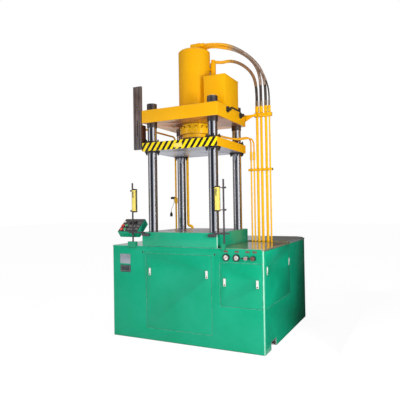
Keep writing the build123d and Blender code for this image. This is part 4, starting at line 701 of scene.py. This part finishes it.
# CAD nodes that keep their shape and take a better finish
nodeFinish = {
    "base_frame": framePaint, "top_covers": coverGreen, "columns": chromeSteel, "piston_rod": chromeSteel,
    "column_nuts": nutSteel, "gland_ring": glandYellow, "guide_bushes": bushSteel, "main_cylinder": cylinderYellow,
    "hose_ferrules": ferruleSteel, "pressure_pipes": pipeYellow, "rear_pipes": pipeYellow, "oil_tank": tankPaint,
    "pump_motor": motorPaint, "crown_fittings": blackPlastic, "switch_lever": zincSteel, "name_plates": plateGrey,
    "curtain_posts": postPaint, "gauge_needle_left": redPlastic, "gauge_needle_right": redPlastic,
    "sensor": blackPlastic,
}
for nodeName, material in nodeFinish.items():
    mesh = cad[nodeName].data
    mesh.materials.clear()
    mesh.materials.append(material)
    mesh.polygons.foreach_set("material_index", [0] * len(mesh.polygons))

# nodes whose edges are rounded, in their own place
softSettings = (
    ("cabinetWalls", "cabinet_shell", cabinetGreen, 0.0012, "green_paint"),
    ("frontPanelSheet", "front_panel", panelGreen, 0.003, "green_paint"),
    ("rightDoorSheet", "right_door", panelGreen, 0.003, "green_paint"),
    ("sidePanelSheet", "side_panel", panelGreen, 0.003, "green_paint"),
    ("bedPlate", "bed", bedGreen, 0.002, "green_paint"),
    ("crownPlate", "crown", crownYellow, 0.0015, "yellow_paint"),
    ("platenPlate", "platen", platenYellow, 0.001, "yellow_paint"),
    ("valveBoxShell", "valve_box", yellowPaint, 0.0025, "yellow_paint"),
    ("portBlockBody", "port_block", yellowPaint, 0.003, "yellow_paint"),
    ("pipeClampBars", "pipe_clamps", clampYellow, 0.0015, "yellow_paint"),
    ("limitRailBar", "limit_rail", railPaint, 0.001, "rail_paint"),
    ("tripPlate", "trip_bracket", tripBrown, 0.001, "yellow_paint"),
    ("consoleCase", "console_box", panelGreen, 0.0025, "green_paint"),
    ("consoleArmBar", "console_arm", panelGreen, 0.0015, "green_paint"),
)
for softValues in softSettings:
    softened(*softValues)
print("edges rounded:", len(softSettings))

# console controls

consoleTurn = Matrix.Translation((-0.800, -0.400, 1.146)) @ Matrix.Rotation(radians(39.6), 4, "X")
consoleNormal = (consoleTurn.to_3x3() @ Vector((0, 0, 1))).normalized()
panelTop = 0.003
buttonRise = 0.0093  # a button's head stands this far off the box at rest
buttonStem = ((0.0, -0.0076), (0.014, -0.0076), (0.014, -0.0036), (0.011, -0.0036), (0.011, buttonRise))
controlSettings = {
    "mushroom": {"spots": {"red_button_upper": (0.031, 0.094), "red_button_lower": (0.042, 0.034)},
                 "finish": redPlastic, "slot": "red_plastic", "ring": (0.0205, 0.0235, 0.0022),
                 "head": ((0.017, 0.0), (0.0186, 0.001), (0.019, 0.003), (0.018, 0.0075), (0.0152, 0.0108),
                          (0.0095, 0.0132), (0.00475, 0.0139), (0.0, 0.014))},
    "push": {"spots": {"green_button_upper": (0.083, 0.090), "green_button_lower": (0.089, 0.032)},
             "finish": greenPlastic, "slot": "green_plastic", "ring": (0.0136, 0.0172, 0.011),
             "head": ((0.012, 0.0), (0.013, 0.001), (0.013, 0.012), (0.0115, 0.0136), (0.009, 0.0138),
                      (0.008, 0.0125), (0.0052, 0.0118), (0.0, 0.0116))},
    "selector": {"selector_left": (0.108, 0.146), "selector_middle": (0.148, 0.143),
                 "selector_right": (0.176, 0.156)},
    "lamp": (0.027, 0.158), "labels": ((0.130, 0.092), (0.180, 0.092), (0.232, 0.146), (0.232, 0.092),
                                       (0.130, 0.044), (0.180, 0.044), (0.232, 0.044)),
}


def onConsole(across, up, lift=0.0):
    return consoleTurn @ Vector((across, up, lift))


def camelName(node):
    first, *others = node.split("_")
    return first + "".join(word.title() for word in others)


def makeConsole(values):
    rings = bmesh.new()
    for kind in ("mushroom", "push"):
        made = values[kind]
        profile = buttonStem + tuple((radius, buttonRise + height) for radius, height in made["head"])
        inner, outer, height = made["ring"]
        for node, (x, y) in made["spots"].items():
            addPiece(node.replace("_b", "B").replace("_", "") + "Head",
                     meshFrom(lathe(profile, onConsole(x, y), consoleNormal, 40)), node, made["finish"],
                     (node,))
            lathe(((inner, 0.0), (outer, 0.0), (outer, height * 0.6), (outer - 0.0008, height),
                   (inner + 0.0006, height), (inner, height - 0.0006), (inner, 0.0)), onConsole(x, y, panelTop),
                  consoleNormal, 40, rings)
    lampPlace = onConsole(*values["lamp"], panelTop)
    lathe(((0.0121, 0.0), (0.0155, 0.0), (0.0155, 0.004), (0.014, 0.006), (0.0121, 0.006), (0.0121, 0.0)), lampPlace,
          consoleNormal, 40, rings)
    addPiece("controlRings", meshFrom(rings), "frame", zincSteel)
    panel = bmesh.new()
    roundedBox((0.008, 0.008, 0.0), (0.262, 0.210, panelTop), 0.0012, 2, panel, consoleTurn)
    for x, y in values["labels"]:
        roundedBox((x - 0.017, y - 0.010, panelTop - 0.001), (x + 0.017, y + 0.010, panelTop + 0.003), 0.0008, 2,
                   panel, consoleTurn, 1)
        roundedBox((x - 0.014, y - 0.0035, panelTop + 0.002), (x + 0.014, y + 0.0035, panelTop + 0.0034), 0.0005, 2,
                   panel, consoleTurn, 2)
    for low, high in (((0.005, 0.2085), (0.265, 0.2125)), ((0.005, 0.006), (0.0088, 0.2125))):
        roundedBox((*low, 0.0002), (*high, panelTop + 0.0006), 0.0006, 2, panel, consoleTurn, 4)
    lathe(((0.0, 0.0), (0.012, 0.0), (0.012, 0.007), (0.0108, 0.0098), (0.0075, 0.0114), (0.003, 0.012), (0.0, 0.012)),
          lampPlace, consoleNormal, 40, panel, 3)
    addPiece("consoleFace", meshFrom(panel), "frame", [consoleBlack, labelGrey, blackPlastic, lensGlow, rimBrown],
             ("console_panel",))
    for node, (x, y) in values["selector"].items():
        work = lathe(((0.0, -0.0076), (0.009, -0.0076), (0.009, -0.0036), (0.006, -0.0036), (0.006, 0.0033),
                      (0.0145, 0.0033), (0.015, 0.0042), (0.015, 0.0085), (0.014, 0.0115), (0.0, 0.0130)),
                     onConsole(x, y), consoleNormal, 40)
        local = consoleTurn @ Matrix.Translation((x, y, 0))
        roundedBox((-0.0045, -0.0148, 0.009), (0.0045, 0.0148, 0.0232), 0.0018, 3, work, local)
        roundedBox((-0.0009, 0.004, 0.0228), (0.0009, 0.0142, 0.0236), 0.0002, 1, work, local, 1)
        addPiece(camelName(node) + "Knob", meshFrom(work), node, [blackPlastic, whitePlastic], (node,))
    gland = lathe(((0.0, -0.0785), (0.013, -0.0785), (0.013, -0.0905), (0.011, -0.094), (0.009, -0.100),
                   (0.0, -0.100)), onConsole(0.220, 0.060), consoleNormal, 24)
    addPiece("consoleGland", meshFrom(gland), "frame", blackPlastic)


makeConsole(controlSettings)
print("console ready")

# light curtains

curtainSettings = {"bottom": 1.362, "length": 0.258, "halfWidth": 0.021, "y": -0.431, "halfDepth": 0.022,
                   "cap": 0.014, "edge": 0.006, "sides": ((-0.538, 1), (0.455, -1))}


# an end cap that is arched across its width
def archedCap(work, centre, halfWidth, halfDepth, height, up, material, steps=14):
    rows = []
    for depth in (-halfDepth, -halfDepth + 0.0012, halfDepth - 0.0012, halfDepth):
        inset = 0.0008 if abs(depth) == halfDepth else 0.0
        spots = [(-cos(pi * k / steps) * (halfWidth - inset),
                  up * (0.25 * height + 0.75 * height * sin(pi * k / steps) ** 0.7 - inset)) for k in range(steps + 1)]
        spots += [(halfWidth - inset, 0.0), (inset - halfWidth, 0.0)]
        rows.append([work.verts.new((centre[0] + x, centre[1] + depth, centre[2] + z)) for x, z in spots])
    faces = [work.faces.new(rows[0]), work.faces.new(rows[-1])]
    count = len(rows[0])
    for front, rear in zip(rows, rows[1:]):
        faces += [work.faces.new((front[k], front[(k + 1) % count], rear[(k + 1) % count], rear[k]))
                  for k in range(count)]
    for face in faces:
        face.material_index = material
    bmesh.ops.recalc_face_normals(work, faces=faces)


def makeCurtains(values):
    work = bmesh.new()
    y, halfWidth, halfDepth, edge = values["y"], values["halfWidth"], values["halfDepth"], values["edge"]
    low, high = values["bottom"] + values["cap"], values["bottom"] + values["length"] - values["cap"]
    for x, inward in values["sides"]:
        window = x + inward * halfWidth
        boxes = (((x - halfWidth + 0.001, y - halfDepth + 0.003, low - 0.001),
                  (x + halfWidth - 0.001, y + halfDepth, high + 0.001), 0.003, 3, 1),
                 ((x - halfWidth, y - halfDepth, low), (x + halfWidth, y + halfDepth - 2 * edge, high), 0.0025, 3, 0),
                 ((window - 0.0008, y - halfDepth * 0.55, low + 0.006),
                  (window + 0.0008, y + halfDepth * 0.2, high - 0.006), 0.0003, 1, 2),
                 ((x - 0.013, y - halfDepth - 0.0005, low + 0.145), (x - 0.001, y - halfDepth + 0.002, high - 0.014),
                  0.0004, 2, 2))
        for start, end, radius, segments, finish in boxes:
            roundedBox(start, end, radius, segments, work, None, finish)
        for z, up in ((high, 1), (low, -1)):
            archedCap(work, (x, y, z), halfWidth, halfDepth, values["cap"], up, 1)
    addPiece("curtainBodies", meshFrom(work), "frame", [curtainYellow, blackPlastic, plateBlack],
             ("light_curtains",))


makeCurtains(curtainSettings)

# gauges, valve knobs and plates on the front

frontWall, rightWall, outwards = -0.430, 0.9217, (0, -1, 0)
gaugeSettings = {"places": (0.537, 0.645), "height": 0.910, "radius": 0.0345, "depth": 0.014, "ticks": 28,
                 "sweep": 270, "tickRing": 0.0218}


def makeGauges(values):
    case, dials, glass = bmesh.new(), bmesh.new(), bmesh.new()
    radius, depth, ring = values["radius"], values["depth"], values["tickRing"]
    profiles = (
        (case, ((0.0, -0.036), (0.029, -0.036), (0.030, -0.034), (0.030, 0.0), (radius - 0.001, 0.0), (radius, 0.0015),
                (radius, depth - 0.004), (radius - 0.0008, depth - 0.001), (radius - 0.003, depth),
                (radius - 0.0088, depth), (radius - 0.0096, depth - 0.0012), (radius - 0.0096, 0.0062), (0.0, 0.0062))),
        (dials, ((0.0016, 0.0058), (0.0248, 0.0058), (0.0248, 0.0064), (0.0016, 0.0064), (0.0016, 0.0058))),
        (glass, ((0.0, 0.0112), (0.0247, 0.0112), (0.0247, 0.0124), (0.018, 0.0131), (0.009, 0.0135), (0.0, 0.0136))))
    for x in values["places"]:
        for work, profile in profiles:
            lathe(profile, (x, frontWall, values["height"]), outwards, 56, work)
    addPiece("gaugeCases", meshFrom(case), "frame", blackPlastic, ("gauges",))
    addPiece("gaugeDials", meshFrom(dials), "frame", dialWhite)
    addPiece("gaugeGlasses", meshFrom(glass), "frame", glassClear)
    for count, x in enumerate(values["places"]):
        centre = (x, frontWall - 0.0066, values["height"])
        turns = [radians(225 - values["sweep"] * k / (values["ticks"] - 1)) for k in range(values["ticks"])]
        points = [(x + ring * cos(turn), centre[1], centre[2] + ring * sin(turn)) for turn in turns]
        ticks = growMesh(scaleTicks, dotMesh(points), {"Material": blackPlastic, "Centre": centre,
                                                       "Size": (0.0007, 0.0006, 0.004)})
        addPiece(f"gaugeTicks{count + 1}", ticks, "frame", blackPlastic, smooth=False)


makeGauges(gaugeSettings)

knobStem = ((0.0, -0.0093), (0.012, -0.0093), (0.012, -0.0043), (0.008, -0.0043), (0.008, 0.0003))
knobSettings = {
    "height": 0.910,
    "relief": {"x": 0.749, "span": 0.092, "wing": 0.013, "profile": (
        (0.0195, 0.0003), (0.020, 0.0012), (0.020, 0.012), (0.0185, 0.014), (0.0185, 0.0165), (0.020, 0.0185),
        (0.020, 0.0325), (0.0185, 0.034), (0.008, 0.034), (0.0, 0.0335))},
    "flow": {"x": 0.818, "ribs": 18, "profile": (
        (0.021, 0.0003), (0.0222, 0.0015), (0.0222, 0.0255), (0.0205, 0.028), (0.011, 0.028), (0.010, 0.0285),
        (0.010, 0.0345), (0.0085, 0.036), (0.0, 0.036))}}


def makeKnobs(values):
    relief, flow = values["relief"], values["flow"]
    centre = (relief["x"], frontWall, values["height"])
    work = lathe(knobStem + relief["profile"], centre, outwards, 48)
    turn = Matrix.Translation(centre)
    for side in (-1, 1):
        inner, outer = sorted((side * 0.0165, side * relief["span"] / 2))
        roundedBox((inner, -0.034, -relief["wing"] / 2), (outer, -0.022, relief["wing"] / 2), 0.0042, 4, work, turn, 1)
    roundedBox((-0.0048, -0.036, -0.0048), (0.0048, -0.0325, 0.0048), 0.0012, 2, work, turn, 2)
    addPiece("reliefKnobWings", meshFrom(work), "relief_knob", [zincSteel, blackPlastic, redPlastic],
             ("relief_knob",))
    centre = (flow["x"], frontWall, values["height"])
    work = lathe(knobStem + flow["profile"], centre, outwards, 54)
    for face in work.faces:
        if all((Vector(centre) - vert.co).y > 0.0275 for vert in face.verts):
            face.material_index = 1
    for k in range(flow["ribs"]):
        turned = Matrix.Translation(centre) @ Matrix.Rotation(2 * pi * k / flow["ribs"], 4, "Y")
        roundedBox((-0.0016, -0.0250, 0.0210), (0.0016, -0.0020, 0.0230), 0.0006, 2, work, turned)
    addPiece("flowKnobBody", meshFrom(work), "flow_knob", [blackPlastic, labelRust], ("flow_knob",))


makeKnobs(knobSettings)

# each plate is left edge, bottom, width, height and finish
plateSettings = {"thickness": 0.0015, "finishes": [plateGrey, plateBlack, labelRust, zincSteel], "plates": (
    (-0.743, 0.801, 0.138, 0.106, 0), (-0.740, 0.708, 0.138, 0.078, 1), (0.514, 0.961, 0.042, 0.018, 2),
    (0.629, 0.961, 0.042, 0.018, 2), (0.738, 0.961, 0.042, 0.018, 2), (0.812, 0.961, 0.042, 0.018, 2))}


# bare plates, the large ones with a raised rim and screws
def makePlates(values):
    work = bmesh.new()
    screws = []
    face = frontWall - values["thickness"]
    for left, bottom, width, height, finish in values["plates"]:
        roundedBox((left, face, bottom), (left + width, frontWall, bottom + height), 0.0006, 2, work, None, finish)
        if width < 0.1:
            continue
        screws += [(left + px, face - 0.0004, bottom + pz) for px in (0.007, width - 0.007)
                   for pz in (0.007, height - 0.007)]
        rims = (((0.012, 0.012), (width - 0.012, 0.0135)), ((0.012, height - 0.0135), (width - 0.012, height - 0.012)),
                ((0.012, 0.012), (0.0135, height - 0.012)), ((width - 0.0135, 0.012), (width - 0.012, height - 0.012)))
        for low, high in rims:
            roundedBox((left + low[0], face - 0.0004, bottom + low[1]),
                       (left + high[0], face + 0.0005, bottom + high[1]), 0.0002, 1, work, None, 3)
    addPiece("barePlates", meshFrom(work), "frame", values["finishes"], ("name_plates",))
    heads = growMesh(socketHeads, dotMesh(screws), {"Material": zincSteel, "Turn": (radians(90), 0.0, 0.0),
                                                    "Radius": 0.0026, "Height": 0.0012, "Socket": 0.45})
    addPiece("plateScrews", heads, "frame", zincSteel)


makePlates(plateSettings)
print("front controls ready")

# latches: zinc handles with a lock barrel at the lower end

latchSettings = {"body": (0.024, 0.076), "lift": 0.0043, "plate": 0.004}
latchPlaces = {
    "front_panel_latch_near": ("front", -0.352, 0.730), "front_panel_latch_far": ("front", 0.322, 0.730),
    "right_door_latch_near": ("front", 0.516, 0.666), "right_door_latch_far": ("front", 0.856, 0.666),
    "side_panel_latch_near": ("right", -0.347, 0.787), "side_panel_latch_far": ("right", 0.437, 0.787),
}


# x across, y up and z outwards on the front or the right wall
def wallMatrix(kind, across, up):
    if kind == "front":
        return Matrix.Translation((across, frontWall, up)) @ Matrix(((1, 0, 0), (0, 0, -1), (0, 1, 0))).to_4x4()
    return Matrix.Translation((rightWall, across, up)) @ Matrix(((0, 0, 1), (1, 0, 0), (0, 1, 0))).to_4x4()


def makeLatch(node, place, values):
    turn = wallMatrix(*place)
    half, top = values["body"][0] / 2, values["body"][1] / 2
    lift, face = values["lift"], values["lift"] + values["plate"]
    outward = turn.to_3x3() @ Vector((0, 0, 1))
    work = roundedBox((-half, -top, lift), (half, top, face), 0.0014, 3, None, turn)
    roundedBox((-half + 0.003, 0.002, lift + 0.003), (half - 0.003, top - 0.004, lift + 0.0062), 0.0012, 3, work, turn)
    lathe(((0.0, -0.0243), (0.008, -0.0243), (0.008, 0.005), (0.0, 0.005)), turn @ Vector((0, 0, 0)), outward, 24, work)
    lathe(((0.0, 0.0), (0.0072, 0.0), (0.0072, 0.0016), (0.0064, 0.0022), (0.0, 0.0022)),
          turn @ Vector((0, -0.026, face - 0.0008)), outward, 32, work, 1)
    roundedBox((-0.0008, -0.0295, lift + 0.0050), (0.0008, -0.0225, lift + 0.0058), 0.0002, 1, work, turn, 2)
    roundedBox((-0.008, -0.035, -0.0107), (0.008, 0.008, -0.0067), 0.0008, 2, work, turn)
    addPiece(camelName(node) + "Handle", meshFrom(work), node, [whitePlastic, labelRust, blackPlastic],
             (node,))


for latchNode, latchPlace in latchPlaces.items():
    makeLatch(latchNode, latchPlace, latchSettings)
print("latches ready")

# polished columns, turned so that reflections run straight down them
columnSpots = [(x, y) for x in (-0.366, 0.366) for y in (-0.327, 0.327)]
columnSettings = {"sides": 96, "profile": ((0.0, 0.924), (0.046, 0.924), (0.050, 0.928), (0.050, 2.546),
                                           (0.046, 2.550), (0.0, 2.550))}
bars = bmesh.new()
for x, y in columnSpots:
    lathe(columnSettings["profile"], (x, y, 0.0), (0, 0, 1), columnSettings["sides"], bars)
addPiece("columnBars", meshFrom(bars), "frame", chromeSteel, ("columns",))

# bolt heads with hexagon sockets: points, body, finish, slot, turn, radius, height and socket share
boltSettings = {
    "bushBoltsUp": ([p for spot in columnSpots for p in ringPoints(spot, 0.073, 6, 2.150)], "ram", blackBolt, "cast",
                    0, 0.0081, 0.003, 0.55),
    "bushBoltsDown": ([p for spot in columnSpots for p in ringPoints(spot, 0.073, 6, 1.993)], "ram", blackBolt, "cast",
                      180, 0.0081, 0.003, 0.55),
    "glandNutTops": (ringPoints((0, 0), 0.159, 12, 2.300), "frame", blackBolt, "cast", 0, 0.0132, 0.004, 0.62),
    "rodBoltTops": (ringPoints((0, 0), 0.113, 8, 2.158), "ram", blackBolt, "cast", 0, 0.0121, 0.003, 0.5),
    "clampBoltHeads": ([(x, 0.433, z) for x in (0.599, 0.652, 0.704) for z in (2.468, 1.834)] +
                       [(0.5105, 0.433, 1.834)], "frame", clampYellow, "yellow_paint", 90, 0.0081, 0.003, 0.5),
}
for boltName, (points, body, finish, slot, turn, radius, height, socket) in boltSettings.items():
    heads = growMesh(socketHeads, dotMesh(points), {"Material": finish, "Turn": (radians(turn), 0.0, 0.0),
                                                    "Radius": radius, "Height": height, "Socket": socket})
    addPiece(boltName, heads, body, finish)

# hexagon nuts on the sockets under the hose ferrules
collars = bmesh.new()
for x, radius in ((0.574, 0.020), (0.624, 0.020), (0.681, 0.020), (0.723, 0.014)):
    for low, high in ((2.506, 2.528), (2.540, 2.566)):
        lathe(((radius - 0.001, low), (radius + 0.004, low), (radius + 0.0052, low + 0.0016),
               (radius + 0.0052, high - 0.0016), (radius + 0.004, high), (radius - 0.001, high), (radius - 0.001, low)),
              (x, pipeRow, 0.0), (0, 0, 1), 6, collars)
addPiece("socketNuts", meshFrom(collars), "frame", pipeYellow)

# weld seams: points, bead size and step
weldSettings = {
    "cylinderFootWeld": (ringPoints((0, 0), 0.179, 72, 2.475), 0.0045, 0.005),
    "portNeckWeld": (ringPoints((0.05, 0), 0.046, 40, 3.161), 0.003, 0.0034),
    "neckFlangeWeld": (ringPoints((0, 0), 0.146, 60, 2.333), 0.0032, 0.004),
    "boxFootWeld": ([(0.186, -0.150, 2.475), (0.433, -0.150, 2.475), (0.433, 0.232, 2.475), (0.186, 0.232, 2.475)],
                    0.003, 0.004),
}
for weldName, (points, size, step) in weldSettings.items():
    seam = growMesh(weldBeads, lineMesh(points, closed=True), {"Material": yellowPaint, "Size": size, "Step": step})
    addPiece(weldName, seam, "frame", yellowPaint, sharp=60)

switchCover = roundedBox((-0.506, -0.3166, 2.205), (-0.476, -0.3145, 2.272), 0.0008)
lathe(((0.0, 0.0), (0.009, 0.0), (0.009, 0.012), (0.007, 0.014), (0.0, 0.014)), (-0.491, -0.345, 2.200), (0, 0, -1),
      24, switchCover, 1)
addPiece("switchCover", meshFrom(switchCover), "frame", [curtainYellow, blackPlastic])
labelPlate = roundedBox((-0.048, -0.4058, 2.040), (0.048, -0.4049, 2.084), 0.0003, 1)
addPiece("platenLabelPlate", meshFrom(labelPlate), "ram", curtainYellow)
print("bolts, welds and fixings ready")

# studio: lamps are place, target, size, power and, for a narrow strip, height
studioSettings = {
    "ambient": 0.40, "floorGlow": 0.86, "floorWhite": 1.08, "floorReach": 30, "ringRadius": 9.0, "ringHeight": 8.0,
    "ringSteps": 72, "matShade": (40, 46, 42), "lamps": {
        "keyLamp": ((1.0, -6.6, 1.9), (0, 0, 1.4), 3.0, 164, None),
        "fillLamp": ((3.3, -1.7, 1.8), (0.6, 0.0, 1.2), 1.0, 76, None),
        "topLamp": ((0.0, 1.0, 6.5), (0, 0.2, 1.0), 3.0, 50, None),
        "stripLeft": ((-4.9, -4.9, 2.0), (0, 0, 2.0), 0.3, 6, 3.6),
        "stripRight": ((6.1, -2.2, 2.0), (0, 0, 2.0), 0.3, 12, 3.6)},
    "mat": ((0.96, -0.55, 0.003), (3.2, -0.55, 0.003), (9.0, 6.0, 0.003), (0.2, 8.8, 0.003)),
    "flag": ((1.55, -0.12, 0.0), (1.55, 3.2, 0.0), (1.55, 3.2, 2.4), (1.55, 0.60, 1.6))}
# what polished steel and gloss see round the machine: azimuth in degrees from the front towards the right, and shade
surroundings = (
    (-180, (70, 62, 56)), (-167.5, (84, 78, 72)), (-166, (176, 178, 182)), (-156, (188, 184, 188)),
    (-148, (216, 220, 218)), (-136, (190, 192, 192)), (-120, (110, 104, 106)), (-74, (118, 110, 112)),
    (-62, (176, 174, 178)), (-34, (190, 190, 196)), (-22, (46, 48, 56)), (12, (44, 46, 54)), (31, (76, 80, 92)),
    (42, (226, 228, 234)), (66, (222, 220, 224)), (80, (150, 140, 138)), (108, (116, 104, 98)), (128, (62, 52, 48)),
    (176, (52, 44, 40)), (180, (70, 62, 56)))


# 1 for camera, glossy and see-through rays
def seenDirect(tree):
    path = addNode(tree, "ShaderNodeLightPath").outputs
    both = maths(tree, "MAXIMUM", path["Is Camera Ray"], path["Is Glossy Ray"])
    return maths(tree, "MAXIMUM", both, path["Is Transmission Ray"])


def stageSheet(name, points, faces, material):
    mesh = bpy.data.meshes.new(name)
    mesh.from_pydata(points, [], faces)
    mesh.materials.append(material)
    sheet = show(name, mesh)
    return sheet


def makeFloor(values):
    material, tree, shader = newMaterial("floorWhite", Base_Color=(0.9, 0.9, 0.9, 1), Roughness=0.9,
                                         Specular_IOR_Level=0.0)
    glow = addNode(tree, "ShaderNodeEmission", {"Color": (1, 1, 1, 1), "Strength": values["floorWhite"]})
    share = maths(tree, "MULTIPLY", seenDirect(tree), values["floorGlow"])
    mixed = addNode(tree, "ShaderNodeMixShader", {0: share, 1: shader.outputs[0], 2: glow.outputs[0]})
    tree.links.new(mixed.outputs[0], tree.nodes["Material Output"].inputs["Surface"])
    size = values["floorReach"]
    stageSheet("studioFloor", [(-size, -size, 0), (size, -size, 0), (size, size, 0), (-size, size, 0)], [(0, 1, 2, 3)],
               material)


def makeLamp(name, place, target, size, power, height):
    data = bpy.data.lights.new(name, "AREA")
    data.size, data.energy = size, power
    if height:
        data.shape, data.size_y = "RECTANGLE", height
    light = show(name, data)
    light.location = place
    light.rotation_mode = "QUATERNION"
    light.rotation_quaternion = (Vector(target) - Vector(place)).to_track_quat("-Z", "Y")
    light.visible_glossy = height is not None  # only the narrow strips show in polished steel


# a round curtain that only reflections see, so that steel and gloss have light and dark in them
def makeRing(values):
    material = bpy.data.materials.new("ringShades")
    material.use_nodes = True
    tree = material.node_tree
    tree.nodes.remove(tree.nodes["Principled BSDF"])
    turned = addNode(tree, "ShaderNodeMapping", {"Vector": objectPlace(tree), "Rotation": (0, 0, radians(90))})
    around = addNode(tree, "ShaderNodeTexGradient", {"Vector": turned.outputs[0]}, gradient_type="RADIAL")
    shades = addNode(tree, "ShaderNodeValToRGB", {0: around.outputs["Fac"]})
    elements = shades.color_ramp.elements
    elements[0].color, elements[1].color = tone(*surroundings[0][1]), tone(*surroundings[-1][1])
    for azimuth, shade in surroundings[1:-1]:
        elements.new(0.5 + azimuth / 360).color = tone(*shade)
    glow = addNode(tree, "ShaderNodeEmission", {"Color": shades.outputs["Color"], "Strength": 1.0})
    tree.links.new(glow.outputs[0], tree.nodes["Material Output"].inputs["Surface"])
    steps, radius = values["ringSteps"], values["ringRadius"]
    rim = [(radius * sin(2 * pi * k / steps), -radius * cos(2 * pi * k / steps)) for k in range(steps)]
    faces = [(k, (k + 1) % steps, steps + (k + 1) % steps, steps + k) for k in range(steps)]
    return stageSheet("studioRing", [(x, y, z) for z in (0.0, values["ringHeight"]) for x, y in rim], faces, material)


def makeStudio(values):
    scene.view_settings.view_transform = "Standard"
    scene.world = bpy.data.worlds.new("studioWorld")
    scene.world.use_nodes = True
    tree = scene.world.node_tree
    background = tree.nodes["Background"].inputs
    background["Color"].default_value = (1, 1, 1, 1)
    tree.links.new(remapped(tree, seenDirect(tree), 0.0, 1.0, values["ambient"], 1.0), background["Strength"])
    makeFloor(values)
    for name, lamp in values["lamps"].items():
        makeLamp(name, *lamp)
    screens = [makeRing(values)]
    # a dark mat on the floor at the right, only in reflections, and a dark flag beside the rear of the right wall
    dark = newMaterial("matShade", Base_Color=(0, 0, 0, 1), Roughness=1.0, Specular_IOR_Level=0.0,
                       Emission_Color=tone(*values["matShade"]), Emission_Strength=1.0)[0]
    for name in ("mat", "flag"):
        screens.append(stageSheet("studio" + name.title(), values[name], [(0, 1, 2, 3)], dark))
    for screen in screens:
        screen.visible_camera = screen.visible_transmission = False
        screen.visible_diffuse = screen.visible_shadow = screen is screens[-1]


makeStudio(studioSettings)
print("studio ready")
